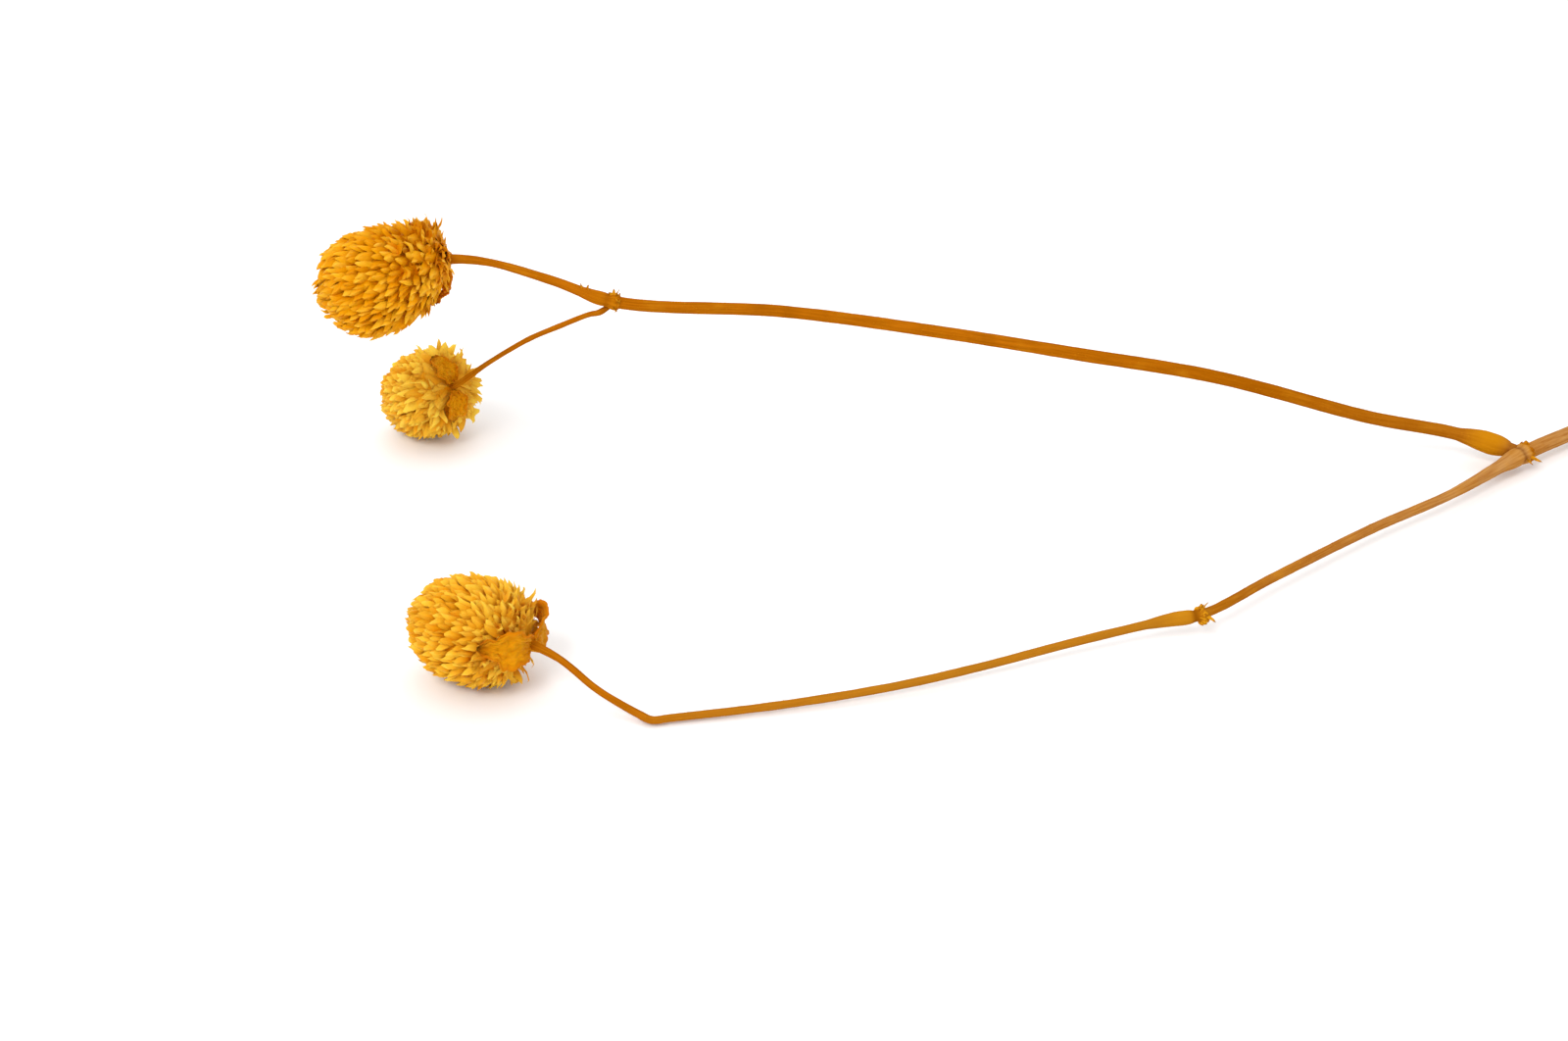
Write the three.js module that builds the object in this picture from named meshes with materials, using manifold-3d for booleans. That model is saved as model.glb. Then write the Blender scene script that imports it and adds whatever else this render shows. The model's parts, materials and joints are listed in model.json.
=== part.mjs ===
import * as THREE from 'three';
import { mergeVertices } from 'three/addons/utils/BufferGeometryUtils.js';
import { ConvexHull } from 'three/addons/math/ConvexHull.js';
import Module from 'manifold-3d';

const wasm = await Module();
wasm.setup();

// A preserved globe amaranth stem, dyed golden yellow and dried, as it lies on a table.
// Lengths are millimetres. X runs from the heads to the cut end, Y away from the viewer, Z up,
// and the table is at Z = 0. Points along the stem are measured from the kink of the lower
// branch, which touches the table. TABLE_MIDDLE is the spot under the middle of the whole
// outline, and the finished plant is moved so that this spot is the origin.
const TABLE_MIDDLE = new THREE.Vector3(107.7, 81.3, 0);

// Gap kept between two pieces that touch, and the thinnest papery leaf.
const SEAT_GAP = 0.3;
const LEAF_THICKNESS = 0.7;

// Points of a finished surface closer than this are one point.
const NEARLY_MET = 0.01;

// Stalk thickness, as radii at the places where it was judged.
const STALK_RADIUS = 1.55;
const UPPER_BRANCH_RADIUS = 1.32;
const UPPER_TIP_RADIUS = 1.15;
const PEDUNCLE_RADIUS = 0.75;
const SIDE_BRANCH_RADIUS = 0.56;
const LOWER_BRANCH_RADIUS = 0.95;
const LOWER_TIP_RADIUS = 0.76;

// Flower heads: length from the stalk to the last tip, and mean width over the tips.
const TERMINAL_HEAD = { length: 26.0, width: 22.3, florets: 112, seed: 11 };
const SIDE_HEAD = { length: 21.5, width: 19.2, florets: 96, seed: 23 };
const LOWER_HEAD = { length: 23.5, width: 20.8, florets: 104, seed: 37 };

// The outline of a head: under 1, its ends are blunter than an egg's. It is fuller near the stalk.
const BLUNTNESS = 0.86;
const FULLER_BASE = 0.08;

// The bracteoles, papery keeled scales in pairs: half the distance between the two of a pair, how
// deep the floor between them lies under the tips, how far a tip leans along the outline (back,
// where it is one of the lowest, and less in the share of the outline that closes over the apex),
// and how far the lowest ones flare.
const SCALE_STEP = 1.15;
const FLOOR_DEPTH = 2.6;
const FLOOR_START = 0.9;
const LEAN = 0.1;
const CLOSING = 0.3;
const BACKWARD_LEAN = -0.05;
const LOW_FLARE = 0.9;
// No two scales are alike: how far a tip strays along the outline, outwards and along the axis.
const STRAY_SHARE = 0.012;
const STRAY_REACH = 0.03;
const STRAY_HEIGHT = 0.25;
// The two of a pair part towards their shoulders and further towards their tips.
const SHOULDER_PARTING = 1.15;
const TIP_PARTING = 1.3;
// Where the shoulder of a scale is: its share of the way up from the floor, and its lean.
const SHOULDER = 0.74;
const SHOULDER_LEAN = 0.02;
// A scale that leans less than this has no keel, only its tip.
const LEAST_LEAN = 0.03;
// The few bracteoles near the stalk that have come loose and stand off.
const LOOSE_SCALES = 9;
const LOOSE_WIDTH = 2.2;
const LOOSE_THICKNESS = 0.8;
// The turn from one floret to the next, and how much closer they stand at the apex.
const FLORET_TURN = 0.382;
const APEX_CROWDING = 0.6;
const SOCKET_DEPTH = 2.6;

const COLOURS = {
  head: '#dd9412',
  stem: '#b06a17',
  bract: '#a8701c',
};

const point = (x, y, z) => new THREE.Vector3(x, y, z);

// The stalk and its branches, as the way their middles run.
const FORK = point(175.9, 97.2, 3.6);
const UPPER_NODE = point(-9.3, 79.9, 46.0);
const LOWER_NODE = point(101.4, 30.2, 5.0);
const KINK = point(0, 0, 0.95);
const TERMINAL_BASE = point(-40.4, 79.6, 55.2);
const SIDE_BASE = point(-44.6, 106.4, 14.5);
const LOWER_BASE = point(-22.6, 11.8, 9.9);
const CUT_END = point(281, 162, 1.6);

// Where each head points, from its stalk to its tip.
const TERMINAL_AXIS = point(-0.985, -0.08, -0.15).normalize();
const SIDE_AXIS = point(-0.64, 0.6, -0.486).normalize();
const LOWER_AXIS = point(-0.93, 0.36, 0.03).normalize();

function drawing(seed) {
  let state = seed >>> 0;
  return () => {
    state = (state + 0x6d2b79f5) >>> 0;
    let mixed = Math.imul(state ^ (state >>> 15), 1 | state);
    mixed = (mixed + Math.imul(mixed ^ (mixed >>> 7), 61 | mixed)) ^ mixed;
    return ((mixed ^ (mixed >>> 14)) >>> 0) / 4294967296;
  };
}

// Rings of equally many points, joined into one closed skin. A ring of one point is a tip.
function skin(rings) {
  const positions = [];
  const faces = [];
  const starts = rings.map((ring) => {
    const start = positions.length / 3;
    ring.forEach((p) => positions.push(p.x, p.y, p.z));
    return start;
  });
  for (let k = 0; k + 1 < rings.length; k += 1) {
    const near = rings[k].length;
    const far = rings[k + 1].length;
    const count = Math.max(near, far);
    for (let i = 0; i < count; i += 1) {
      const j = (i + 1) % count;
      const a = starts[k] + (near > 1 ? i : 0);
      const b = starts[k] + (near > 1 ? j : 0);
      const c = starts[k + 1] + (far > 1 ? j : 0);
      const d = starts[k + 1] + (far > 1 ? i : 0);
      if (near > 1) faces.push(a, b, c);
      if (far > 1) faces.push(a, c, d);
    }
  }
  const cap = (ring, start, outward) => {
    for (let i = 1; i + 1 < ring.length; i += 1) {
      if (outward) faces.push(start, start + i, start + i + 1);
      else faces.push(start, start + i + 1, start + i);
    }
  };
  cap(rings[0], starts[0], false);
  cap(rings[rings.length - 1], starts[rings.length - 1], true);
  const geometry = new THREE.BufferGeometry();
  geometry.setAttribute('position', new THREE.Float32BufferAttribute(positions, 3));
  geometry.setIndex(faces);
  return geometry;
}

function solid(geometry, sameWithin = 1e-4) {
  const bare = geometry.clone();
  bare.deleteAttribute('normal');
  bare.deleteAttribute('uv');
  const merged = mergeVertices(bare, sameWithin);
  return new wasm.Manifold(new wasm.Mesh({
    numProp: 3,
    vertProperties: new Float32Array(merged.attributes.position.array),
    triVerts: new Uint32Array(merged.index.array),
  }));
}

function fuse(solids) {
  let round = solids;
  while (round.length > 1) {
    const next = [];
    for (let i = 0; i < round.length; i += 2) {
      next.push(i + 1 < round.length ? round[i].add(round[i + 1]) : round[i]);
    }
    round = next;
  }
  return round[0];
}

// The body that holds together: sealed hollows are filled and loose scraps are dropped. Points
// that nearly meet are made one, and what that pinches off is looked at again.
function mainBody(body) {
  let kept = body;
  for (let pass = 0; pass < 4; pass += 1) {
    const largest = kept.decompose().reduce((a, b) => (b.volume() > a.volume() ? b : a));
    kept = solid(geometryOf(largest), NEARLY_MET);
  }
  return kept.decompose().reduce((a, b) => (b.volume() > a.volume() ? b : a));
}

function geometryOf(body) {
  const shape = body.getMesh();
  const positions = new Float32Array(shape.numVert * 3);
  for (let i = 0; i < shape.numVert; i += 1) {
    for (let k = 0; k < 3; k += 1) positions[i * 3 + k] = shape.vertProperties[i * shape.numProp + k];
  }
  const geometry = new THREE.BufferGeometry();
  geometry.setAttribute('position', new THREE.BufferAttribute(positions, 3));
  geometry.setIndex(Array.from(shape.triVerts));
  return geometry;
}

function meshOf(name, body, colour, roughness) {
  const moved = body.translate(TABLE_MIDDLE.clone().negate().toArray());
  const geometry = geometryOf(mainBody(moved));
  geometry.computeVertexNormals();
  const material = new THREE.MeshStandardMaterial({ color: colour, roughness, metalness: 0 });
  const mesh = new THREE.Mesh(geometry, material);
  mesh.name = name;
  return mesh;
}

// A vector square to the given direction, as near as can be to the hint.
function squareTo(direction, hint) {
  return hint.clone().addScaledVector(direction, -hint.dot(direction)).normalize();
}

// A stalk along a curve. Each way point carries its radius, and each node on the way adds a
// narrow ring and a swollen stretch beyond it.
function limb({ way, nodes = [], sides, step, grow = 0 }) {
  const curve = new THREE.CatmullRomCurve3(way.map(([p]) => p), false, 'centripetal');
  const spans = way.length - 1;
  curve.arcLengthDivisions = spans * 60;
  const lengths = curve.getLengths();
  const total = curve.getLength();
  const reached = way.map((_, i) => lengths[i * 60]);
  const plainRadius = (s) => {
    let i = 0;
    while (i < spans - 1 && s > reached[i + 1]) i += 1;
    const share = THREE.MathUtils.clamp((s - reached[i]) / (reached[i + 1] - reached[i]), 0, 1);
    return THREE.MathUtils.lerp(way[i][1], way[i + 1][1], share);
  };
  const placed = nodes.map((node) => ({ ...node, s: reached[node.index] }));
  const radius = (s) => placed.reduce((sum, node) => {
    const from = (s - node.s) * node.towards;
    const ring = node.ring * Math.max(0, 1 - Math.abs(from) / node.ringReach);
    const along = (from - node.swellReach / 2) / (node.swellReach / 2);
    return sum + ring + node.swell * Math.max(0, 1 - along * along);
  }, plainRadius(s) + grow);
  const stations = new Set();
  for (let i = 0; i < spans; i += 1) {
    const cuts = Math.max(1, Math.round((reached[i + 1] - reached[i]) / step));
    for (let k = 0; k <= cuts; k += 1) {
      stations.add(THREE.MathUtils.lerp(reached[i], reached[i + 1], k / cuts));
    }
  }
  placed.forEach((node) => {
    const reach = [-1, 0, 1].map((share) => share * node.ringReach)
      .concat([0.3, 0.55, 0.8, 1].map((share) => share * node.swellReach));
    const low = Math.min(...reach.map((r) => r * node.towards));
    const high = Math.max(...reach.map((r) => r * node.towards));
    stations.forEach((s) => {
      if (s > node.s + low - 1 && s < node.s + high + 1 && s > 0 && s < total) stations.delete(s);
    });
    reach.forEach((r) => {
      const s = node.s + r * node.towards;
      if (s > 0.2 && s < total - 0.2) stations.add(s);
    });
  });
  const ordered = [...stations].sort((a, b) => a - b);
  let normal = squareTo(curve.getTangentAt(0), point(0, 0, 1));
  const rings = ordered.map((s) => {
    const u = THREE.MathUtils.clamp(s / total, 0, 1);
    const tangent = curve.getTangentAt(u);
    const past = s <= 0 ? -grow : Number(s >= total) * grow;
    const centre = curve.getPointAt(u).addScaledVector(tangent, past);
    normal = squareTo(tangent, normal);
    const side = tangent.clone().cross(normal);
    return Array.from({ length: sides }, (_, i) => {
      const turn = ((i + 0.5) / sides) * Math.PI * 2;
      return centre.clone()
        .addScaledVector(normal, Math.cos(turn) * radius(s))
        .addScaledVector(side, Math.sin(turn) * radius(s));
    });
  });
  return skin(rings);
}

// A short three-sided spine, its foot sunk in what it grows from.
function spine(foot, direction, length, thickness) {
  const side = squareTo(direction, Math.abs(direction.z) < 0.9 ? point(0, 0, 1) : point(1, 0, 0));
  const across = direction.clone().cross(side);
  const ring = [0, 1, 2].map((i) => {
    const turn = (i / 3) * Math.PI * 2;
    return foot.clone()
      .addScaledVector(side, Math.cos(turn) * thickness * 0.6)
      .addScaledVector(across, Math.sin(turn) * thickness * 0.6);
  });
  return skin([ring, [foot.clone().addScaledVector(direction, length)]]);
}

// The frill round a node: what is left of the leaf pair's bases, as a ring of pointed stubs.
function frill(centre, along, radius, count, length, seed) {
  const draw = drawing(seed);
  const start = squareTo(along, point(0, 0.2, 1));
  const side = along.clone().cross(start);
  return Array.from({ length: count }, (_, i) => {
    const turn = ((i + 0.3 * draw()) / count) * Math.PI * 2;
    const out = start.clone().multiplyScalar(Math.cos(turn)).addScaledVector(side, Math.sin(turn));
    const lean = out.clone().addScaledVector(along, 0.5 + 0.5 * draw()).normalize();
    const foot = centre.clone().addScaledVector(out, radius * 0.45);
    return solid(spine(foot, lean, radius * 0.6 + length * (0.7 + 0.6 * draw()), 0.8));
  });
}

// The way each limb runs, with its radius at each point.
const LOWER_WAY = [
  [CUT_END, STALK_RADIUS],
  [point(256, 150.5, 1.7), STALK_RADIUS],
  [point(231, 136.5, 2.0), STALK_RADIUS],
  [point(206, 121.0, 2.5), STALK_RADIUS],
  [point(187.2, 106.7, 3.1), STALK_RADIUS],
  [FORK, STALK_RADIUS],
  [point(157.4, 79.4, 3.7), LOWER_BRANCH_RADIUS],
  [point(139.1, 64.6, 4.1), LOWER_BRANCH_RADIUS],
  [point(117.0, 44.6, 4.7), 0.9],
  [LOWER_NODE, 0.9],
  [point(94.7, 28.5, 4.7), 0.85],
  [point(76.9, 22.3, 3.7), 0.8],
  [point(59.4, 15.2, 2.8), LOWER_TIP_RADIUS],
  [point(44.0, 9.8, 2.1), LOWER_TIP_RADIUS],
  [point(23.6, 4.6, 1.4), LOWER_TIP_RADIUS],
  [point(3.2, 0.6, 0.98), 0.8],
  [KINK, 0.84],
  [point(-2.4, 1.6, 1.25), 0.8],
  [point(-9.9, 6.3, 3.4), 0.74],
  [point(-17.0, 10.2, 7.6), 0.74],
  [LOWER_BASE, 0.95],
  [LOWER_BASE.clone().addScaledVector(LOWER_AXIS, SOCKET_DEPTH), 1.0],
];
const UPPER_WAY = [
  [FORK, 1.2],
  [point(173.2, 98.4, 4.1), UPPER_BRANCH_RADIUS],
  [point(161.3, 101.2, 6.5), UPPER_BRANCH_RADIUS],
  [point(144.6, 101.2, 9.9), UPPER_BRANCH_RADIUS],
  [point(112.2, 102.6, 18.5), UPPER_BRANCH_RADIUS],
  [point(83.3, 99.9, 25.0), UPPER_BRANCH_RADIUS],
  [point(53.2, 96.8, 31.7), 1.25],
  [point(23.6, 91.0, 38.7), 1.2],
  [UPPER_NODE, UPPER_TIP_RADIUS],
  [point(-21.7, 81.5, 49.9), 0.88],
  [point(-33.4, 82.0, 53.4), PEDUNCLE_RADIUS],
  [TERMINAL_BASE, 0.95],
  [TERMINAL_BASE.clone().addScaledVector(TERMINAL_AXIS, SOCKET_DEPTH), 1.05],
];
const SIDE_WAY = [
  [UPPER_NODE, 0.5],
  [point(-12.0, 80.6, 43.6), 0.66],
  [point(-14.8, 83.6, 41.5), SIDE_BRANCH_RADIUS],
  [point(-21.0, 88.0, 36.9), SIDE_BRANCH_RADIUS],
  [point(-27.5, 93.3, 31.6), SIDE_BRANCH_RADIUS],
  [point(-36.1, 99.2, 23.7), SIDE_BRANCH_RADIUS],
  [SIDE_BASE, 0.8],
  [SIDE_BASE.clone().addScaledVector(SIDE_AXIS, SOCKET_DEPTH), 0.95],
];

const STALK_NODE = { index: 2, towards: 1, ring: 0.5, ringReach: 1.4, swell: 0.5, swellReach: 9 };
const FORK_NODE = { index: 5, towards: 1, ring: 0.5, ringReach: 1.6, swell: 0.75, swellReach: 9 };
const LOWER_BRANCH_NODE = {
  index: 9, towards: 1, ring: 0.45, ringReach: 1.3, swell: 0.5, swellReach: 6,
};
const UPPER_BASE_NODE = {
  index: 1, towards: 1, ring: 0.3, ringReach: 1.4, swell: 0.85, swellReach: 11,
};
const UPPER_BRANCH_NODE = {
  index: 8, towards: 1, ring: 0.5, ringReach: 1.3, swell: 0.3, swellReach: 6,
};

const mainLimb = {
  way: LOWER_WAY, nodes: [STALK_NODE, FORK_NODE, LOWER_BRANCH_NODE], sides: 8, step: 7,
};
const upperLimb = {
  way: UPPER_WAY, nodes: [UPPER_BASE_NODE, UPPER_BRANCH_NODE], sides: 8, step: 8,
};
const sideLimb = { way: SIDE_WAY, nodes: [], sides: 6, step: 5 };

const towardsHeads = point(-0.77, -0.64, 0).normalize();
const nodeFrills = [
  ...frill(FORK, towardsHeads, 2.0, 7, 0.9, 5),
  ...frill(LOWER_NODE, point(-0.85, -0.5, 0), 1.35, 7, 0.9, 6),
  ...frill(UPPER_NODE, point(-0.95, 0, 0.3).normalize(), 1.6, 7, 0.8, 7),
  ...frill(LOWER_WAY[2][0], point(-0.87, -0.5, 0), 2.0, 6, 0.7, 8),
];
// The dried stub on top of the upper node, where a twin of the side branch broke off.
const stub = [
  solid(spine(UPPER_NODE, point(-0.05, -0.1, 1).normalize(), 3.4, 1.6)),
  solid(spine(UPPER_NODE, point(0.35, 0.1, 1).normalize(), 2.9, 1.1)),
  solid(spine(UPPER_NODE, point(-0.55, 0.1, 1).normalize(), 2.8, 1.1)),
];
// The two papery scraps of the leaf pair, left hanging under the fork.
const forkScraps = [
  solid(spine(FORK, point(0.6, -0.8, -0.25).normalize(), 4.3, 1.5)),
  solid(spine(FORK, point(0.0, -0.95, -0.35).normalize(), 3.7, 1.2)),
];
const stem = fuse([
  solid(limb(mainLimb)), solid(limb(upperLimb)), solid(limb(sideLimb)),
  ...nodeFrills, ...stub, ...forkScraps,
]);
const stemClearance = fuse([mainLimb, upperLimb, sideLimb].map((parts) => (
  solid(limb({ ...parts, grow: SEAT_GAP + 0.02 }))
)));

// The outline of a head over its tips: height above the stalk and distance from the axis, from
// the stalk (share 0) to the apex (share 1).
function outline(head, share) {
  const turn = Math.PI * THREE.MathUtils.clamp(share, 0, 1);
  return {
    height: (head.length * (1 - Math.cos(turn))) / 2,
    reach: (head.width / 2) * Math.sin(turn) ** BLUNTNESS * (1 + FULLER_BASE * Math.cos(turn)),
  };
}

// The floor between the scales, a set depth under the outline.
function floorAt(head, share) {
  const spot = outline(head, share);
  const before = outline(head, share - 0.02);
  const after = outline(head, share + 0.02);
  const run = Math.hypot(after.height - before.height, after.reach - before.reach);
  return {
    height: Math.max(spot.height + (FLOOR_DEPTH * (after.reach - before.reach)) / run, FLOOR_START),
    reach: Math.max(spot.reach - (FLOOR_DEPTH * (after.height - before.height)) / run, 0),
  };
}

// Shares of the outline at which the florets stand, each with its piece of the surface, smaller
// towards the apex.
function floretShares(head) {
  const steps = 240;
  const area = [0];
  for (let k = 1; k <= steps; k += 1) {
    const a = outline(head, (k - 1) / steps);
    const b = outline(head, k / steps);
    const slope = Math.hypot(b.height - a.height, b.reach - a.reach);
    area.push(area[k - 1] + slope * (a.reach + b.reach) * (1 + APEX_CROWDING * (k / steps)));
  }
  const shares = [];
  let k = 1;
  for (let i = 0; i < head.florets; i += 1) {
    const wanted = (area[steps] * (i + 0.5)) / head.florets;
    while (area[k] < wanted) k += 1;
    shares.push((k - 1 + (wanted - area[k - 1]) / (area[k] - area[k - 1])) / steps);
  }
  return shares;
}

const around = (turn, reach, height) => (
  point(Math.cos(turn) * reach, Math.sin(turn) * reach, height)
);

// The spot on a ball that stands for a share of the outline and a turn about the axis.
const onBall = (share, turn) => (
  around(turn, Math.sin(Math.PI * share), -Math.cos(Math.PI * share))
);

// The scales of a head: where each one stands on the ball, its shoulder and its tip. A pair of
// scales stands on every floret. The tips lean to the apex, and the lowest bend back.
function scalesOf(head, draw) {
  return floretShares(head).flatMap((share, i) => {
    const turn = i * FLORET_TURN * Math.PI * 2;
    const low = 1 - THREE.MathUtils.smoothstep(share, 0.05, 0.4);
    const lean = THREE.MathUtils.lerp(LEAN, BACKWARD_LEAN, low);
    return [-1, 1].map((hand) => {
      const jitter = (draw() - 0.5) * 2;
      const lift = (draw() - 0.5) * 2;
      const spread = (hand * SCALE_STEP) / Math.max(outline(head, share).reach, 1.2);
      const ahead = lean * Math.min(1, (1 - share) / CLOSING) + STRAY_SHARE * jitter;
      const tipShare = THREE.MathUtils.clamp(share + ahead, 0.015, 0.99);
      const end = outline(head, tipShare);
      const reach = end.reach * (1 + STRAY_REACH * lift) + LOW_FLARE * low * draw();
      const broad = outline(head, share + SHOULDER_LEAN * (1 - low));
      const deep = floorAt(head, share + SHOULDER_LEAN * (1 - low));
      const shoulderReach = THREE.MathUtils.lerp(deep.reach, broad.reach, SHOULDER);
      const shoulderHeight = THREE.MathUtils.lerp(deep.height, broad.height, SHOULDER);
      return {
        stand: onBall(share, turn + spread),
        forward: onBall(tipShare, turn + spread).sub(onBall(share, turn + spread)),
        keeled: tipShare - share > LEAST_LEAN,
        shoulder: around(turn + spread * SHOULDER_PARTING, shoulderReach, shoulderHeight),
        tip: around(turn + spread * TIP_PARTING, reach, end.height + STRAY_HEIGHT * jitter),
      };
    });
  });
}

// The bodies of a head's scales. The surface is shared out among the scales as cells. The rear of
// a cell goes up to the shoulder, the front to the tip, with the keel between the two, and its
// walls go down to the middle of the head.
function scaleBodies(head, scales) {
  const hull = new ConvexHull().setFromPoints(scales.map(({ stand }) => stand));
  const floorOf = new Map(hull.faces.map((face) => {
    const corners = [0, 1, 2].map((k) => face.getEdge(k).head().point);
    const middle = corners[0].clone().add(corners[1]).add(corners[2]).normalize();
    const spot = floorAt(head, Math.acos(-middle.z) / Math.PI);
    return [face, { spot: around(Math.atan2(middle.y, middle.x), spot.reach, spot.height), middle }];
  }));
  const firstEdge = new Map();
  hull.faces.forEach((face) => [0, 1, 2].forEach((k) => {
    const edge = face.getEdge(k);
    firstEdge.set(edge.tail().point, edge);
  }));
  const heart = point(0, 0, head.length / 2);
  return scales.map(({ stand, forward, keeled, tip, shoulder }) => {
    const cell = [];
    let edge = firstEdge.get(stand);
    do {
      const from = floorOf.get(edge.twin.face);
      const to = floorOf.get(edge.face);
      const ahead = from.middle.clone().add(to.middle).multiplyScalar(0.5).sub(stand).dot(forward);
      cell.push({ from: from.spot, to: to.spot, front: ahead > 0 });
      edge = edge.prev.twin;
    } while (edge !== firstEdge.get(stand));
    const top = (front) => (front || !keeled ? tip : shoulder);
    const corners = [];
    cell.forEach((side, k) => {
      const next = cell[(k + 1) % cell.length];
      corners.push(top(side.front), side.from, side.to, heart, side.to, side.from);
      if (keeled && side.front !== next.front) corners.push(side.to, top(next.front), top(side.front));
    });
    const geometry = new THREE.BufferGeometry();
    geometry.setAttribute('position', new THREE.Float32BufferAttribute(
      corners.flatMap((corner) => corner.toArray()), 3,
    ));
    return solid(geometry);
  });
}

// A loose bracteole near the stalk, a thin keeled blade that has bent away from the head.
function looseScale(root, tip, keel, width) {
  const along = tip.clone().sub(root).normalize();
  const up = squareTo(along, keel);
  const side = along.clone().cross(up);
  const ring = (share, w, rise) => {
    const centre = root.clone().lerp(tip, share).addScaledVector(up, rise);
    return [
      centre.clone().addScaledVector(side, -w / 2).addScaledVector(up, -LOOSE_THICKNESS / 2),
      centre.clone().addScaledVector(up, LOOSE_THICKNESS / 2),
      centre.clone().addScaledVector(side, w / 2).addScaledVector(up, -LOOSE_THICKNESS / 2),
    ];
  };
  return skin([ring(0, width * 0.6, 0), ring(0.45, width, 0.5), ring(0.8, width * 0.6, 0.4), [tip]]);
}

// A head in its own frame, axis along Z and the stalk's end at the origin.
function buildHead(head) {
  const draw = drawing(head.seed);
  const scales = scaleBodies(head, scalesOf(head, draw));
  const loose = Array.from({ length: LOOSE_SCALES }, (_, i) => {
    const turn = (i + 0.7 * draw()) * (Math.PI * 2 / LOOSE_SCALES);
    const share = 0.16 + 0.2 * draw();
    const start = floorAt(head, share);
    const end = outline(head, share + 0.14);
    const root = around(turn, start.reach - 0.8, start.height);
    const tip = around(turn + 0.16 * (draw() - 0.5), end.reach + 1.0 + 1.2 * draw(), end.height);
    return solid(looseScale(root, tip, around(turn, 0.7, -0.7), LOOSE_WIDTH));
  });
  return fuse([...scales, ...loose]);
}

// Turns and moves a body from its own frame, axis along Z, onto the plant.
function place(body, base, axis) {
  const turn = new THREE.Quaternion().setFromUnitVectors(point(0, 0, 1), axis);
  const matrix = new THREE.Matrix4().compose(base, turn, point(1, 1, 1));
  return body.transform(matrix.elements);
}

// A papery leaf along a curve: cupped across, waved at its edges, the same split on both faces.
function leaf({ centre, facing, width, cup, wave, seed, grow = 0 }) {
  const curve = new THREE.CatmullRomCurve3(centre, false, 'centripetal');
  const draw = drawing(seed);
  const phase = draw() * Math.PI * 2;
  const rows = 6;
  const columns = 4;
  const grid = [];
  for (let i = 0; i <= rows; i += 1) {
    const u = i / rows;
    const along = curve.getTangentAt(u);
    const up = squareTo(along, facing);
    const side = along.clone().cross(up);
    const half = Math.max(0.7, (width / 2) * Math.sin(Math.PI * (0.12 + 0.86 * u)) ** 0.8) + grow;
    const ragged = 1 + 0.12 * Math.sin(u * 13 + phase);
    const past = i === 0 ? -grow : Number(i === rows) * grow;
    const row = [];
    for (let j = 0; j <= columns; j += 1) {
      const v = (j / columns) * 2 - 1;
      const ripple = wave * Math.abs(v) * u * Math.sin(u * 9 + phase + (v > 0 ? 1.7 : 0));
      row.push(curve.getPointAt(u)
        .addScaledVector(along, past)
        .addScaledVector(side, v * half * ragged)
        .addScaledVector(up, ripple - cup * v * v * half));
    }
    grid.push(row);
  }
  const normalAt = (i, j) => {
    const a = grid[Math.min(i + 1, rows)][j].clone().sub(grid[Math.max(i - 1, 0)][j]);
    const b = grid[i][Math.min(j + 1, columns)].clone().sub(grid[i][Math.max(j - 1, 0)]);
    return a.cross(b).normalize();
  };
  const half = LEAF_THICKNESS / 2 + grow;
  const front = grid.map((row, i) => row.map((p, j) => p.clone().addScaledVector(normalAt(i, j), half)));
  const rear = grid.map((row, i) => row.map((p, j) => p.clone().addScaledVector(normalAt(i, j), -half)));
  const positions = [];
  [front, rear].forEach((face) => face.forEach((row) => row.forEach((p) => {
    positions.push(p.x, p.y, p.z);
  })));
  const across = columns + 1;
  const index = (face, i, j) => face * (rows + 1) * across + i * across + j;
  const faces = [];
  for (let i = 0; i < rows; i += 1) {
    for (let j = 0; j < columns; j += 1) {
      const [a, b, c, d] = [index(0, i, j), index(0, i + 1, j), index(0, i + 1, j + 1), index(0, i, j + 1)];
      faces.push(a, b, c, a, c, d);
      const [e, f, g, h] = [index(1, i, j), index(1, i + 1, j), index(1, i + 1, j + 1), index(1, i, j + 1)];
      faces.push(e, g, f, e, h, g);
    }
  }
  const rim = [];
  for (let i = 0; i < rows; i += 1) rim.push([i, 0, i + 1, 0]);
  for (let j = 0; j < columns; j += 1) rim.push([rows, j, rows, j + 1]);
  for (let i = rows; i > 0; i -= 1) rim.push([i, columns, i - 1, columns]);
  for (let j = columns; j > 0; j -= 1) rim.push([0, j, 0, j - 1]);
  rim.forEach(([i, j, k, l]) => {
    const [a, b, c, d] = [index(0, i, j), index(0, k, l), index(1, k, l), index(1, i, j)];
    faces.push(a, c, b, a, d, c);
  });
  const geometry = new THREE.BufferGeometry();
  geometry.setAttribute('position', new THREE.Float32BufferAttribute(positions, 3));
  geometry.setIndex(faces);
  return geometry;
}

// A leafy bract under a head. Its middle line is given as steps of distance from the head's
// axis and height along it, on the side of the head that faces the given way.
function bract({ base, axis, side, line, ...rest }) {
  const out = squareTo(axis, side);
  const centre = line.map(([reach, height]) => (
    base.clone().addScaledVector(out, reach).addScaledVector(axis, height)
  ));
  return { centre, facing: axis.clone().addScaledVector(out, -0.4), ...rest };
}

const CUPPED = [[0.9, -0.9], [3.4, -1.0], [6.4, 0.0], [8.9, 2.3], [10.6, 5.2]];
const HUGGING = [[0.9, -0.2], [2.6, 0.4], [4.6, 1.4], [6.6, 2.8], [8.2, 4.8]];
const SHORT = [[0.9, -0.4], [2.6, -0.3], [4.2, 0.2], [5.8, 1.1], [7.3, 2.5]];

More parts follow.
